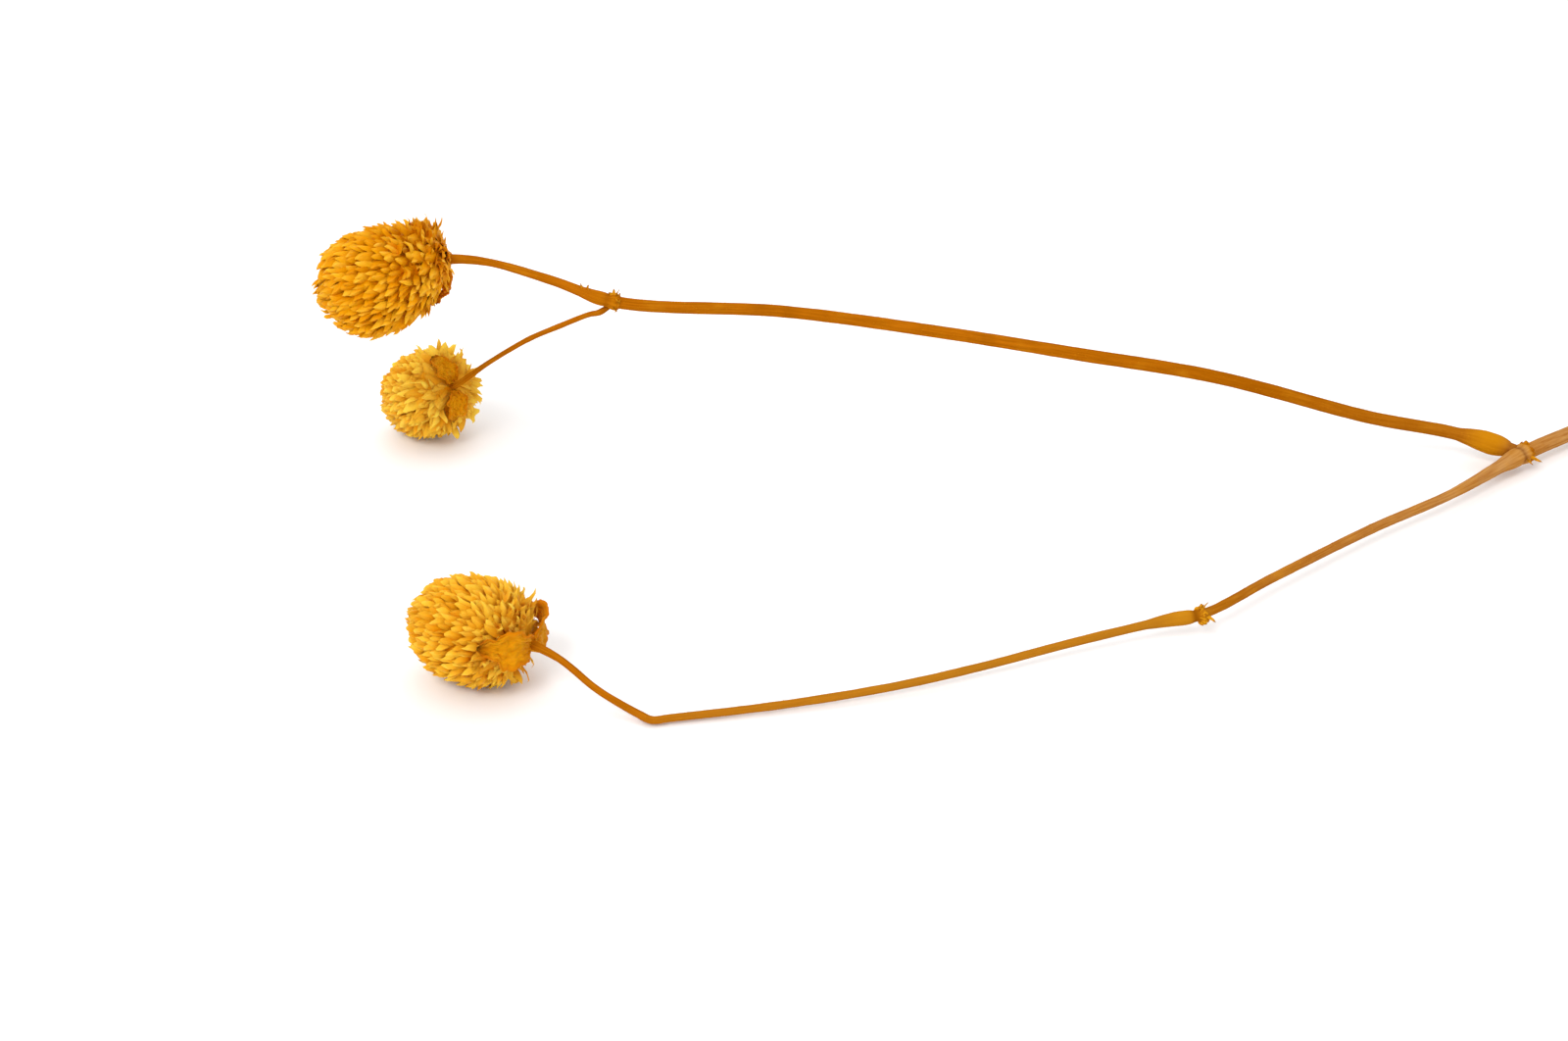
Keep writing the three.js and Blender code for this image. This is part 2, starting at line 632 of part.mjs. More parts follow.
const BRACTS = {
  bract_terminal_upper: bract({
    base: TERMINAL_BASE, axis: TERMINAL_AXIS, side: point(0, 0.6, 0.8),
    line: HUGGING, width: 5.6, cup: 0.3, wave: 0.5, seed: 41,
  }),
  bract_terminal_lower: bract({
    base: TERMINAL_BASE, axis: TERMINAL_AXIS, side: point(0, 0.1, -1),
    line: HUGGING, width: 5.2, cup: 0.3, wave: 0.4, seed: 43,
  }),
  bract_side_upper: bract({
    base: SIDE_BASE, axis: SIDE_AXIS, side: point(-0.3, 0.1, 1),
    line: SHORT, width: 5.2, cup: 0.3, wave: 0.4, seed: 47,
  }),
  bract_side_lower: bract({
    base: SIDE_BASE, axis: SIDE_AXIS, side: point(0.2, -0.5, -0.8),
    line: SHORT, width: 4.8, cup: 0.2, wave: 0.5, seed: 53,
  }),
  bract_lower_front: bract({
    base: LOWER_BASE, axis: LOWER_AXIS, side: point(-0.2, -0.9, 0.3),
    line: CUPPED, width: 7.4, cup: 0.3, wave: 0.6, seed: 59,
  }),
  bract_lower_back: bract({
    base: LOWER_BASE, axis: LOWER_AXIS, side: point(0.2, 0.9, 0.1),
    line: CUPPED, width: 6.8, cup: 0.3, wave: 0.6, seed: 61,
  }),
};

// Nothing of the plant reaches below the table: what would is pressed flat there.
const table = solid(new THREE.BoxGeometry(800, 800, 60).translate(0, 0, -30));

const leaves = Object.entries(BRACTS).map(([name, shape]) => [
  name, solid(leaf(shape)).subtract(stemClearance).subtract(table),
]);
const leafClearance = fuse(Object.values(BRACTS).map((shape) => (
  solid(leaf({ ...shape, grow: SEAT_GAP }))
)));
const heads = [
  ['head_terminal', TERMINAL_HEAD, TERMINAL_BASE, TERMINAL_AXIS],
  ['head_side', SIDE_HEAD, SIDE_BASE, SIDE_AXIS],
  ['head_lower', LOWER_HEAD, LOWER_BASE, LOWER_AXIS],
].map(([name, sizes, base, axis]) => [
  name,
  place(buildHead(sizes), base, axis).subtract(stemClearance).subtract(leafClearance).subtract(table),
]);

const plant = new THREE.Group();
plant.add(meshOf('stem', stem.subtract(table), COLOURS.stem, 0.6));
heads.forEach(([name, body]) => plant.add(meshOf(name, body, COLOURS.head, 0.7)));
leaves.forEach(([name, body]) => plant.add(meshOf(name, body, COLOURS.bract, 0.75)));

export default plant;
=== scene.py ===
import json
import math
import random

import bmesh
import bpy
from mathutils import Matrix, Vector

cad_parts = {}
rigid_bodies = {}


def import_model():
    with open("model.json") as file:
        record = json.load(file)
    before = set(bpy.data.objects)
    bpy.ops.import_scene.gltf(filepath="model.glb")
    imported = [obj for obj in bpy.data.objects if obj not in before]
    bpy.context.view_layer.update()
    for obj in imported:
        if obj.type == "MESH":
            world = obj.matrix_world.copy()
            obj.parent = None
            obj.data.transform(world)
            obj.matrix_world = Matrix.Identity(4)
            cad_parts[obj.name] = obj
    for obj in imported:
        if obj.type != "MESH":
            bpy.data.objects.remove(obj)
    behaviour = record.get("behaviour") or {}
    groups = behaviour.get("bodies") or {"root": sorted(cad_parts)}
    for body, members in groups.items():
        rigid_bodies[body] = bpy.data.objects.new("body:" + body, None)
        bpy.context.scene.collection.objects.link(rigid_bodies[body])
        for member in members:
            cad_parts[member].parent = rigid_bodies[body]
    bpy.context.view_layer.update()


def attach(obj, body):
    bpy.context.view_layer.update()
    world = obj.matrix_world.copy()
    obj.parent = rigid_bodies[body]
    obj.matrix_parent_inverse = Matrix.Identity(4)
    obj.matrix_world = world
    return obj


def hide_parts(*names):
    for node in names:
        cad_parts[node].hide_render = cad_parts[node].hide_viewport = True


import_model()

# A preserved globe amaranth stem, dyed golden yellow and dried. Lengths are millimetres unless
# a name says otherwise, and each finished piece is brought to metres by its last node.
MM = 0.001
TABLE_MIDDLE = Vector((107.7, 81.3, 0.0))


def spot(x, y, z):
    """A point measured from the kink of the lower branch, in the frame's own millimetres."""
    return Vector((x, y, z)) - TABLE_MIDDLE


def towards(x, y, z):
    return Vector((x, y, z)).normalized()


FORK = spot(175.9, 97.2, 3.6)
UPPER_NODE = spot(-9.3, 79.9, 46.0)
LOWER_NODE = spot(101.4, 30.2, 5.0)
STALK_NODE = spot(231, 136.5, 2.0)
CUT_END = spot(281, 162, 1.6)
TERMINAL_BASE = spot(-40.4, 79.6, 55.2)
SIDE_BASE = spot(-44.6, 106.4, 14.5)
LOWER_BASE = spot(-22.6, 11.8, 9.9)
TERMINAL_AXIS = towards(-0.985, -0.08, -0.15)
SIDE_AXIS = towards(-0.64, 0.6, -0.486)
LOWER_AXIS = towards(-0.93, 0.36, 0.03)
# How far a stalk runs on into its head, and how far the end head sits along from its stalk's end.
SOCKET, END_HEAD_SHIFT = 2.6, 1.3

# The end head nods from its stalk's own line, and is fuller on its upper, ruffled side.
HEADS = {
    "head_terminal": {
        "Length": 25.4, "Width": 21.4, "Fuller Base": -0.11, "Skew": 2.5, "Florets": 285, "Seed": 11,
        "Base": TERMINAL_BASE + TERMINAL_AXIS * END_HEAD_SHIFT, "axis": towards(-0.954, -0.146, -0.263),
        "ruffled": (0.3, 0.1, 0.95), "Bleached": 0.0},
    "head_side": {
        "Length": 21.5, "Width": 19.2, "Fuller Base": 0.08, "Skew": 0.0, "Florets": 245, "Seed": 23,
        "Base": SIDE_BASE, "axis": SIDE_AXIS, "ruffled": (0.2, 0.9, 0.3), "Bleached": 0.6},
    "head_lower": {
        "Length": 23.5, "Width": 20.8, "Fuller Base": 0.08, "Skew": 0.0, "Florets": 280, "Seed": 37,
        "Base": LOWER_BASE, "axis": LOWER_AXIS, "ruffled": (0.4, 0.6, 0.7), "Bleached": 0.35},
}
USUAL_LENGTH, USUAL_WIDTH = 26.0, 22.3
BLUNTNESS = 0.86
FULLER_BASE = 0.08
APEX_CROWDING = 0.6
# Turns from one to the next: of florets as a share of the full circle, of other scales in radians.
FLORET_TURN = 0.382
SCALE_TURN = 2.4
PRONG_TURN = 3.9
PAIR_STEP = 0.68
SCALE_SIZE = 0.77
# The way a scale points, by its own axes, and the numbers that pick a shape, wrapped round its box.
SCALE_AIM = (0.0, 0.93, 0.36)
SCALE_PICKS, TORN_PICKS = 59.99, 39.99

# The way each limb runs: a point and the radius there.
LOWER_WAY = [
    (CUT_END, 1.55), (spot(256, 150.5, 1.7), 1.55), (STALK_NODE, 1.55), (spot(206, 121, 2.5), 1.55),
    (spot(187.2, 106.7, 3.1), 1.55), (FORK, 1.55), (spot(157.4, 79.4, 3.7), 0.95),
    (spot(139.1, 64.6, 4.1), 0.95), (spot(117, 44.6, 4.7), 0.9), (LOWER_NODE, 0.9),
    (spot(94.7, 28.5, 4.7), 0.85), (spot(76.9, 22.3, 3.7), 0.8), (spot(59.4, 15.2, 2.8), 0.76),
    (spot(44, 9.8, 2.1), 0.76), (spot(23.6, 4.6, 1.4), 0.76), (spot(3.2, 0.6, 0.98), 0.8),
    (spot(0, 0, 0.95), 0.82), (spot(-2.4, 1.6, 1.25), 0.74), (spot(-9.9, 6.3, 3.4), 0.64),
    (spot(-17, 10.2, 7.6), 0.66), (LOWER_BASE, 0.92), (LOWER_BASE + LOWER_AXIS * SOCKET, 1.0),
]
UPPER_WAY = [
    (FORK, 1.2), (spot(173.2, 98.4, 4.1), 1.32), (spot(161.3, 101.2, 6.5), 1.32),
    (spot(144.6, 101.2, 9.9), 1.32), (spot(112.2, 102.6, 18.5), 1.32), (spot(83.3, 99.9, 25), 1.32),
    (spot(53.2, 96.8, 31.7), 1.25), (spot(23.6, 91, 38.7), 1.2), (UPPER_NODE, 1.15),
    (spot(-21.7, 81.5, 49.9), 0.88), (spot(-33.4, 82, 53.4), 0.75), (TERMINAL_BASE, 0.95),
    (TERMINAL_BASE + TERMINAL_AXIS * SOCKET, 1.05),
]
SIDE_WAY = [
    (UPPER_NODE, 0.5), (spot(-12, 80.6, 43.6), 0.62), (spot(-14.8, 83.6, 41.5), 0.54),
    (spot(-21, 88, 36.9), 0.53), (spot(-27.5, 93.3, 31.6), 0.52), (spot(-36.1, 99.2, 23.7), 0.52),
    (SIDE_BASE, 0.66), (SIDE_BASE + SIDE_AXIS * SOCKET, 0.8),
]
# Where the lower way passes the fork and its node, and where its ochre has faded.
FORK_AT, LOWER_NODE_AT, FADED_AT = 5, 9, 18
# Each node on a limb: its way point, the ring's rise and half width, the swelling's rise and length.
LIMBS = [
    (LOWER_WAY, [(2, 0.5, 0.9, 0.5, 9.0), (FORK_AT, 0.6, 1.0, 0.4, 9.0),
                 (LOWER_NODE_AT, 0.45, 0.9, 0.5, 11.0)]),
    (UPPER_WAY, [(1, 0.0, 0.9, 0.95, 11.0), (8, 0.5, 0.9, 0.3, 7.0)]),
    (SIDE_WAY, []),
]
# The groove beyond each node's ring: how far off, its half width and its depth.
GROOVE_OFF, GROOVE_HALF, GROOVE_DEPTH = 0.7, 0.9, 0.12
# The painted shade in the crease where a branch starts: its strength there, and how slowly it fades.
CREASE_START, CREASE_FADE = 1.3, 3.2
# Age just past the fork and its loss with each way point, and where age sets in along the table.
FORK_AGE, AGE_LOSS, AGE_FROM, AGE_REACH = 0.66, 0.025, -40, 180
HAIR_THICKNESS = 0.022
# The cut end in metres: the steps of its rind as widths and depths, and how far the pith reaches.
CUT_STEPS = ((0.00022, 0.00003), (0.0002, -0.00022), (0.0004, -0.0001))
PITH_RADIUS = 1.35 * MM

# The middle line of each kind of bract, as distance from the head's axis and height along it.
CUPPED = [(0.9, -0.9), (3.4, -1.0), (6.4, 0.0), (8.9, 2.3), (10.6, 5.2)]
HUGGING = [(0.9, -0.2), (2.6, 0.4), (4.6, 1.4), (6.6, 2.8), (8.2, 4.8)]
SHORT = [(0.9, -0.4), (2.6, -0.3), (4.2, 0.2), (5.8, 1.1), (7.3, 2.5)]
# Each bract: its head, the side it grows on, its middle line, width, cup, wave, phase and age.
BRACTS = {
    "bract_terminal_upper": ("head_terminal", (0, 0.4, 0.92), HUGGING, 5.6, 0.3, 0.7, 0.6, 0.2),
    "bract_terminal_lower": ("head_terminal", (0, 0.1, -1), HUGGING, 5.2, 0.3, 0.4, 2.1, 0.25),
    "bract_side_upper": ("head_side", (-0.3, 0.1, 1), SHORT, 4.8, 0.3, 0.4, 3.3, 0.35),
    "bract_side_lower": ("head_side", (0.2, -0.5, -0.8), SHORT, 4.8, 0.2, 0.5, 4.4, 0.15),
    "bract_lower_front": ("head_lower", (-0.2, -0.9, 0.3), CUPPED, 6.6, 0.3, 0.7, 1.2, 0.35),
    "bract_lower_back": ("head_lower", (0.2, 0.9, 0.1), CUPPED, 6.3, 0.3, 0.7, 5.3, 0.6),
}


# Curves and outlines worked out in plain numbers

def held(value):
    return min(1.0, max(0.0, value))


def smooth_way(points, step):
    """Places along a centripetal Catmull-Rom curve, with the way point share of each."""
    first, last = points[0] * 2 - points[1], points[-1] * 2 - points[-2]
    padded = [first, *points, last]
    places = []
    for i in range(len(points) - 1):
        a, b, c, d = padded[i:i + 4]
        gaps = [max((q - p).length, 1e-6) ** 0.5 for p, q in ((a, b), (b, c), (c, d))]
        leave = ((b - a) / gaps[0] - (c - a) / (gaps[0] + gaps[1]) + (c - b) / gaps[1]) * gaps[1]
        arrive = ((c - b) / gaps[1] - (d - b) / (gaps[1] + gaps[2]) + (d - c) / gaps[2]) * gaps[1]
        cuts = max(2, round((c - b).length / step))
        for k in range(cuts + (i == len(points) - 2)):
            t = k / cuts
            place = (b + leave * t + (c * 3 - b * 3 - leave * 2 - arrive) * t ** 2
                     + (b * 2 - c * 2 + leave + arrive) * t ** 3)
            places.append((place, i + t))
    return places


def head_outline(length, width, share):
    turn = math.pi * share
    reach = width / 2 * math.sin(turn) ** BLUNTNESS * (1 + FULLER_BASE * math.cos(turn))
    return length * (1 - math.cos(turn)) / 2, reach


def even_shares(length, width, steps=240):
    """Where along the outline each part of a head's surface has been passed."""
    area, table = 0.0, [(0.0, 0.0)]
    for k in range(1, steps + 1):
        low, near = head_outline(length, width, (k - 1) / steps)
        high, far = head_outline(length, width, min(k / steps, 0.9999))
        area += math.hypot(high - low, far - near) * (near + far) * (1 + APEX_CROWDING * k / steps)
        table.append((area, k / steps))
    return [(passed / area, share) for passed, share in table]


# Helpers that write trees of nodes

class Desk:
    """Where the tree of nodes that is being written lies."""
    tree = None


class Flow:
    """What leaves a node, so that sums of it read as sums. A name or number asks for another outlet."""

    def __init__(self, socket):
        self.socket = socket

    def __getitem__(self, name):
        return Flow(self.socket.node.outputs[name])


def plug(node, values):
    """Feeds each inlet of a node from another node, or sets its own value."""
    for name, value in values.items():
        if isinstance(value, Flow):
            Desk.tree.links.new(value.socket, node.inputs[name])
        else:
            node.inputs[name].default_value = value


def add(kind, values=None, **settings):
    """A new node, as what leaves its first outlet."""
    node = Desk.tree.nodes.new(kind)
    for name, value in settings.items():
        setattr(node, name, value)
    plug(node, values or {})
    return Flow(node.outputs[0])


def is_arrow(value):
    return isinstance(value, tuple) or isinstance(value, Flow) and value.socket.type in ("VECTOR", "RGBA")


def calc(operation, *values):
    """A sum of numbers, or of arrows where the first value is an arrow."""
    if not is_arrow(values[0]):
        return add("ShaderNodeMath", dict(enumerate(values)), operation=operation)
    if operation == "MULTIPLY" and not is_arrow(values[1]):
        return add("ShaderNodeVectorMath", {0: values[0], "Scale": values[1]}, operation="SCALE")
    made = add("ShaderNodeVectorMath", dict(enumerate(values)), operation=operation)
    return made["Value"] if operation == "DOT_PRODUCT" else made


def sum_of(operation):
    return lambda self, other: calc(operation, self, other)


for sign, operation in (("add", "ADD"), ("sub", "SUBTRACT"), ("mul", "MULTIPLY"), ("truediv", "DIVIDE"),
                        ("mod", "MODULO"), ("pow", "POWER"), ("lt", "LESS_THAN"), ("gt", "GREATER_THAN")):
    setattr(Flow, f"__{sign}__", sum_of(operation))
Flow.__rsub__ = lambda self, other: calc("SUBTRACT", other, self)


def start_tree(name, inputs, kind="GeometryNodeTree"):
    """Starts a tree of nodes. Each input has its usual value, or its kind where it has none."""
    Desk.tree = bpy.data.node_groups.new(name, kind)
    for label, value in inputs.items():
        socket = value if isinstance(value, str) else type(value).__name__.capitalize()
        made = Desk.tree.interface.new_socket(name=label, in_out="INPUT", socket_type="NodeSocket" + socket)
        if not isinstance(value, str):
            made.default_value = value
    return add("NodeGroupInput")


def end_tree(**results):
    """Ends a tree of nodes with its named results."""
    kinds = {"GEOMETRY": "Geometry", "VALUE": "Float", "RGBA": "Color"}
    for name, value in results.items():
        socket = "NodeSocket" + kinds[value.socket.type]
        Desk.tree.interface.new_socket(name=name, in_out="OUTPUT", socket_type=socket)
    plug(Desk.tree.nodes.new("NodeGroupOutput"), results)
    return Desk.tree


def arrow(x, y, z):
    return add("ShaderNodeCombineXYZ", {0: x, 1: y, 2: z})


def position():
    """The place of each point, apart in x, y and z."""
    made = add("ShaderNodeSeparateXYZ", {0: add("GeometryNodeInputPosition")})
    return made[0], made[1], made[2]


def fitted(value, low, high, to_low=0.0, to_high=1.0, way="LINEAR"):
    """A number brought from one range to another, and held at its ends."""
    values = {0: value, 1: low, 2: high, 3: to_low, 4: to_high}
    return add("ShaderNodeMapRange", values, interpolation_type=way)


def eased(*values):
    return fitted(*values, way="SMOOTHSTEP")


def noise(scale, detail, where=None, roughness=0.5):
    """A cloudy number. Without a place given, it goes by where each point lies."""
    values = {2: scale, 3: detail, 4: roughness}
    return add("ShaderNodeTexNoise", values if where is None else {0: where, **values})["Fac"]


def chance(low, high, seed):
    """A number drawn anew for each point."""
    values = {2: low, 3: high, 7: add("GeometryNodeInputIndex"), 8: seed}
    return add("FunctionNodeRandomValue", values, data_type="FLOAT")[1]


def named(name, kind="FLOAT"):
    return add("GeometryNodeInputNamedAttribute", {0: name}, data_type=kind)


def keep(shape, **values):
    """A shape whose points carry numbers, arrows or turns with them."""
    kinds = {"VECTOR": "FLOAT_VECTOR", "ROTATION": "QUATERNION"}
    for name, value in values.items():
        kind = kinds.get(value.socket.type, "FLOAT") if isinstance(value, Flow) else "FLOAT"
        shape = add("GeometryNodeStoreNamedAttribute", {0: shape, 2: name, 3: value}, data_type=kind)
    return shape


def captured(shape, name, value):
    """A number of a curve, held while the curve is swept."""
    node = Desk.tree.nodes.new("GeometryNodeCaptureAttribute")
    node.capture_items.new("FLOAT", name)
    plug(node, {"Geometry": shape, name: value})
    return Flow(node.outputs["Geometry"]), Flow(node.outputs[name])


def moved(shape, place):
    return add("GeometryNodeSetPosition", {0: shape, 2: place})


def shifted(shape, offset):
    return add("GeometryNodeSetPosition", {0: shape, 3: offset})


def smoothed(shape):
    return add("GeometryNodeSetShadeSmooth", {0: shape})


def joined(*parts):
    both = add("GeometryNodeJoinGeometry")
    for part in parts:
        plug(both.socket.node, {0: part})
    return both


def real(shape):
    return add("GeometryNodeRealizeInstances", {0: shape})


def in_object(source):
    return add("GeometryNodeObjectInfo", {0: source})["Geometry"]


def copies(points, shape, rotation, size, pick=None):
    """Copies of a shape on points, or of a shape picked from a box for each point."""
    values = {0: points, 2: shape, 5: rotation, 6: size}
    if pick is not None:
        box = add("GeometryNodeCollectionInfo", {0: shape, 1: True, 2: True})
        values.update({2: box, 3: True, 4: calc("FLOOR", pick)})
    return real(add("GeometryNodeInstanceOnPoints", values))


def turned_on(rotation, x, y, z):
    """A rotation turned further about its own axes."""
    further = add("FunctionNodeEulerToRotation", {0: arrow(x, y, z)})
    return add("FunctionNodeRotateRotation", {0: rotation, 1: further}, rotation_space="LOCAL")


def shown(name, data):
    """A new object in the scene."""
    made = bpy.data.objects.new(name, data)
    bpy.context.scene.collection.objects.link(made)
    return made


def clear(things):
    for thing in list(things):
        bpy.data.objects.remove(thing)


def grown(name, tree, sizes):
    """Runs a tree of geometry nodes and keeps what it makes as a plain mesh."""
    holder = shown(name + "_start", bpy.data.meshes.new(name + "_start"))
    modifier = holder.modifiers.new("grow", "NODES")
    modifier.node_group = tree
    for item in tree.interface.items_tree:
        if item.item_type == "SOCKET" and item.in_out == "INPUT" and item.name in sizes:
            modifier[item.identifier] = sizes[item.name]
    bpy.context.view_layer.update()
    ready = holder.evaluated_get(bpy.context.evaluated_depsgraph_get())
    mesh = bpy.data.meshes.new_from_object(ready)
    clear([holder])
    mesh.name = name
    return shown(name, mesh)


# Groups of geometry nodes that several pieces share

def make_outline_group():
    sizes = start_tree("head outline", {
        "Share": 0.5, "Length": USUAL_LENGTH, "Width": USUAL_WIDTH, "Fuller Base": FULLER_BASE})
    turn = calc("MINIMUM", calc("MAXIMUM", sizes["Share"], 0.0005), 0.9995) * math.pi
    cosine = calc("COSINE", turn)
    height = sizes["Length"] * 0.5 * (1.0 - cosine)
    blunt = calc("SINE", turn) ** BLUNTNESS
    fuller = cosine * sizes["Fuller Base"] + 1.0
    return end_tree(Height=height, Reach=blunt * fuller * 0.5 * sizes["Width"])


def make_press_group():
    """Presses what would reach below the table flat against it, and brings the piece to metres."""
    sizes = start_tree("rest on table", {"Geometry": "Geometry", "Give": 1.0, "Material": "Material"})
    x, y, z = position()
    give = sizes["Give"]
    pressed = calc("EXPONENT", calc("MINIMUM", z / give - 1.0, 0.0)) * give
    height = add("ShaderNodeMix", {0: z < give, 2: z, 3: pressed})
    small = add("GeometryNodeTransform", {0: moved(sizes["Geometry"], arrow(x, y, height)), 3: (MM, MM, MM)})
    return end_tree(Geometry=add("GeometryNodeSetMaterial", {0: real(small), 2: sizes["Material"]}))


OUTLINE_GROUP = make_outline_group()
PRESS_GROUP = make_press_group()


def finish_tree(shape, sizes):
    """The last nodes of every tree: real geometry, pressed on the table, with its material."""
    values = {"Geometry": shape, "Material": sizes["Material"]}
    return end_tree(Geometry=add("GeometryNodeGroup", values, node_tree=PRESS_GROUP))


# The shapes that are repeated

def blade(name, line, half_widths, folds, thickness, seed, twist, bend, crest):
    """A keeled papery scale as a closed skin of a few dozen faces, folded along its middle line.
    Its attributes say how far along and across it a point lies."""
    draw = random.Random(seed)
    turn, lean = draw.uniform(-twist, twist), draw.uniform(-bend, bend)
    made = bmesh.new()
    along = made.verts.layers.float.new("along")
    across = made.verts.layers.float.new("across")
    rings = []
    for k, ((y, z), half, fold) in enumerate(zip(line[:-1], half_widths, folds)):
        share = k / (len(line) - 1)
        left, right = half * draw.uniform(0.88, 1.1), half * draw.uniform(0.88, 1.1)
        rise = crest * draw.uniform(0.4, 1.4) * (share > 0.35)
        section = [
            (0, rise, 0), (0.52 * right, -0.4 * fold, 0.5), (right, -fold, 1),
            (0.5 * right, -0.42 * fold - thickness * 0.8, 0.5), (0, -thickness, 0),
            (-0.5 * left, -0.42 * fold - thickness * 0.8, -0.5), (-left, -fold, -1),
            (-0.52 * left, -0.4 * fold, -0.5),
        ]
        cosine, sine = math.cos(turn * share), math.sin(turn * share)
        ring = []
        for x, up, side in section:
            vert = made.verts.new((x * cosine - up * sine + lean * share ** 2, y, z + x * sine + up * cosine))
            vert[along], vert[across] = share, side
            ring.append(vert)
        rings.append(ring)
    y, z = line[-1]
    tip = made.verts.new((lean + draw.uniform(-0.15, 0.15), y, z))
    tip[along] = 1.0
    sides = len(rings[0])
    for near, far in zip(rings, rings[1:]):
        for i in range(sides):
            made.faces.new((near[i], near[(i + 1) % sides], far[(i + 1) % sides], far[i]))
    for i in range(sides):
        made.faces.new((rings[-1][i], rings[-1][(i + 1) % sides], tip))
    made.faces.new(rings[0])
    bmesh.ops.recalc_face_normals(made, faces=made.faces)
    for face in made.faces:
        face.smooth = True
    for edge in made.edges:
        if len(edge.link_faces) == 2 and edge.calc_face_angle(0) > 0.8:
            edge.smooth = False
    mesh = bpy.data.meshes.new(name)
    made.to_mesh(mesh)
    made.free()
    return bpy.data.objects.new(name, mesh)


# Each kind of blade: its middle line as (towards the apex, outwards), half widths and fold depths,
# then thickness, first seed, twist, bend and the crest along its keel.
BLADES = {
    "set_scale": (
        [(-3.4, -4.2), (-2.7, -2.6), (-1.9, -1.5), (-0.9, -0.72), (0.1, -0.28), (0.9, -0.12), (1.5, -0.14),
         (2.05, -0.22)],
        [0.4, 0.8, 1.18, 1.34, 1.24, 0.92, 0.5], [0.25, 0.55, 0.95, 1.2, 1.08, 0.72, 0.3],
        0.3, 100, 0.2, 0.25, 0.08),
    "pinched_scale": (
        [(-3.4, -4.2), (-2.7, -2.5), (-1.7, -1.3), (-0.7, -0.58), (0.3, -0.2), (1.1, -0.1), (1.7, -0.02),
         (2.35, 0.14)],
        [0.35, 0.65, 1.0, 1.12, 1.0, 0.7, 0.36], [0.3, 0.6, 1.15, 1.45, 1.2, 0.75, 0.3],
        0.3, 120, 0.35, 0.5, 0.16),
    "loose_scale": (
        [(-1.6, -3.6), (-1.3, -2.4), (-1.0, -1.2), (-0.5, -0.1), (0.3, 0.8), (1.1, 1.25), (1.9, 1.4),
         (2.7, 1.2)],
        [0.4, 0.62, 0.86, 0.98, 0.92, 0.72, 0.42], [0.15, 0.3, 0.42, 0.48, 0.42, 0.3, 0.12],
        0.16, 200, 0.5, 0.8, 0.08),
    "collar_scale": (
        [(-2.6, -0.9), (-1.9, -0.5), (-1.1, -0.2), (-0.2, -0.02), (0.7, 0.05), (1.4, 0.05), (1.9, 0.1),
         (2.3, 0.25)],
        [0.5, 0.75, 0.95, 1.0, 0.88, 0.62, 0.35], [0.15, 0.25, 0.35, 0.4, 0.36, 0.26, 0.12],
        0.18, 240, 0.3, 0.4, 0.05),
    "prong": (
        [(-1.2, -1.2), (-0.6, -0.6), (0.2, 0.0), (1.1, 0.6), (2.0, 1.2), (2.9, 1.6), (3.7, 1.7), (4.4, 1.5)],
        [0.3, 0.38, 0.42, 0.4, 0.34, 0.24, 0.13], [0.1, 0.14, 0.18, 0.18, 0.15, 0.1, 0.05],
        0.12, 260, 0.8, 1.2, 0.03),
    "torn_bit": (
        [(0.0, 0.0), (0.2, 0.02), (0.42, 0.05), (0.62, 0.1), (0.8, 0.17), (0.9, 0.22), (1.0, 0.26)],
        [0.42, 0.44, 0.4, 0.36, 0.26, 0.16], [0.1, 0.12, 0.12, 0.1, 0.08, 0.04],
        0.1, 300, 0.5, 0.15, 0.03),
}


def shape_box(name, **counts):
    """A box with some blades of each kind, each a little different."""
    box = bpy.data.collections.new(name)
    for kind, count in counts.items():
        line, half_widths, folds, thickness, seed, twist, bend, crest = BLADES[kind]
        for k in range(count):
            box.objects.link(blade(
                f"{kind}_{k}", line, half_widths, folds, thickness, seed + k, twist, bend, crest))
    return box


set_scales = shape_box("set scales", set_scale=6, pinched_scale=4)
loose_scales = shape_box("loose scales", loose_scale=5)
collar_scales = shape_box("collar scales", collar_scale=4)
prongs = shape_box("prongs", prong=4)
torn_bits = shape_box("torn bits", torn_bit=4)


# Flower heads

def evenly(passed):
    """The share of the outline at which a given share of a head's surface has been passed."""
    curve = add("ShaderNodeFloatCurve", {"Value": passed})
    mapping = curve.socket.node.mapping
    line, stops = mapping.curves[0].points, 16
    line[0].location, line[1].location = (0, 0), (1, 1)
    table = even_shares(USUAL_LENGTH, USUAL_WIDTH)
    for k in range(1, stops):
        line.new(*min(table, key=lambda entry: abs(entry[0] - k / stops)))
    mapping.update()
    return curve


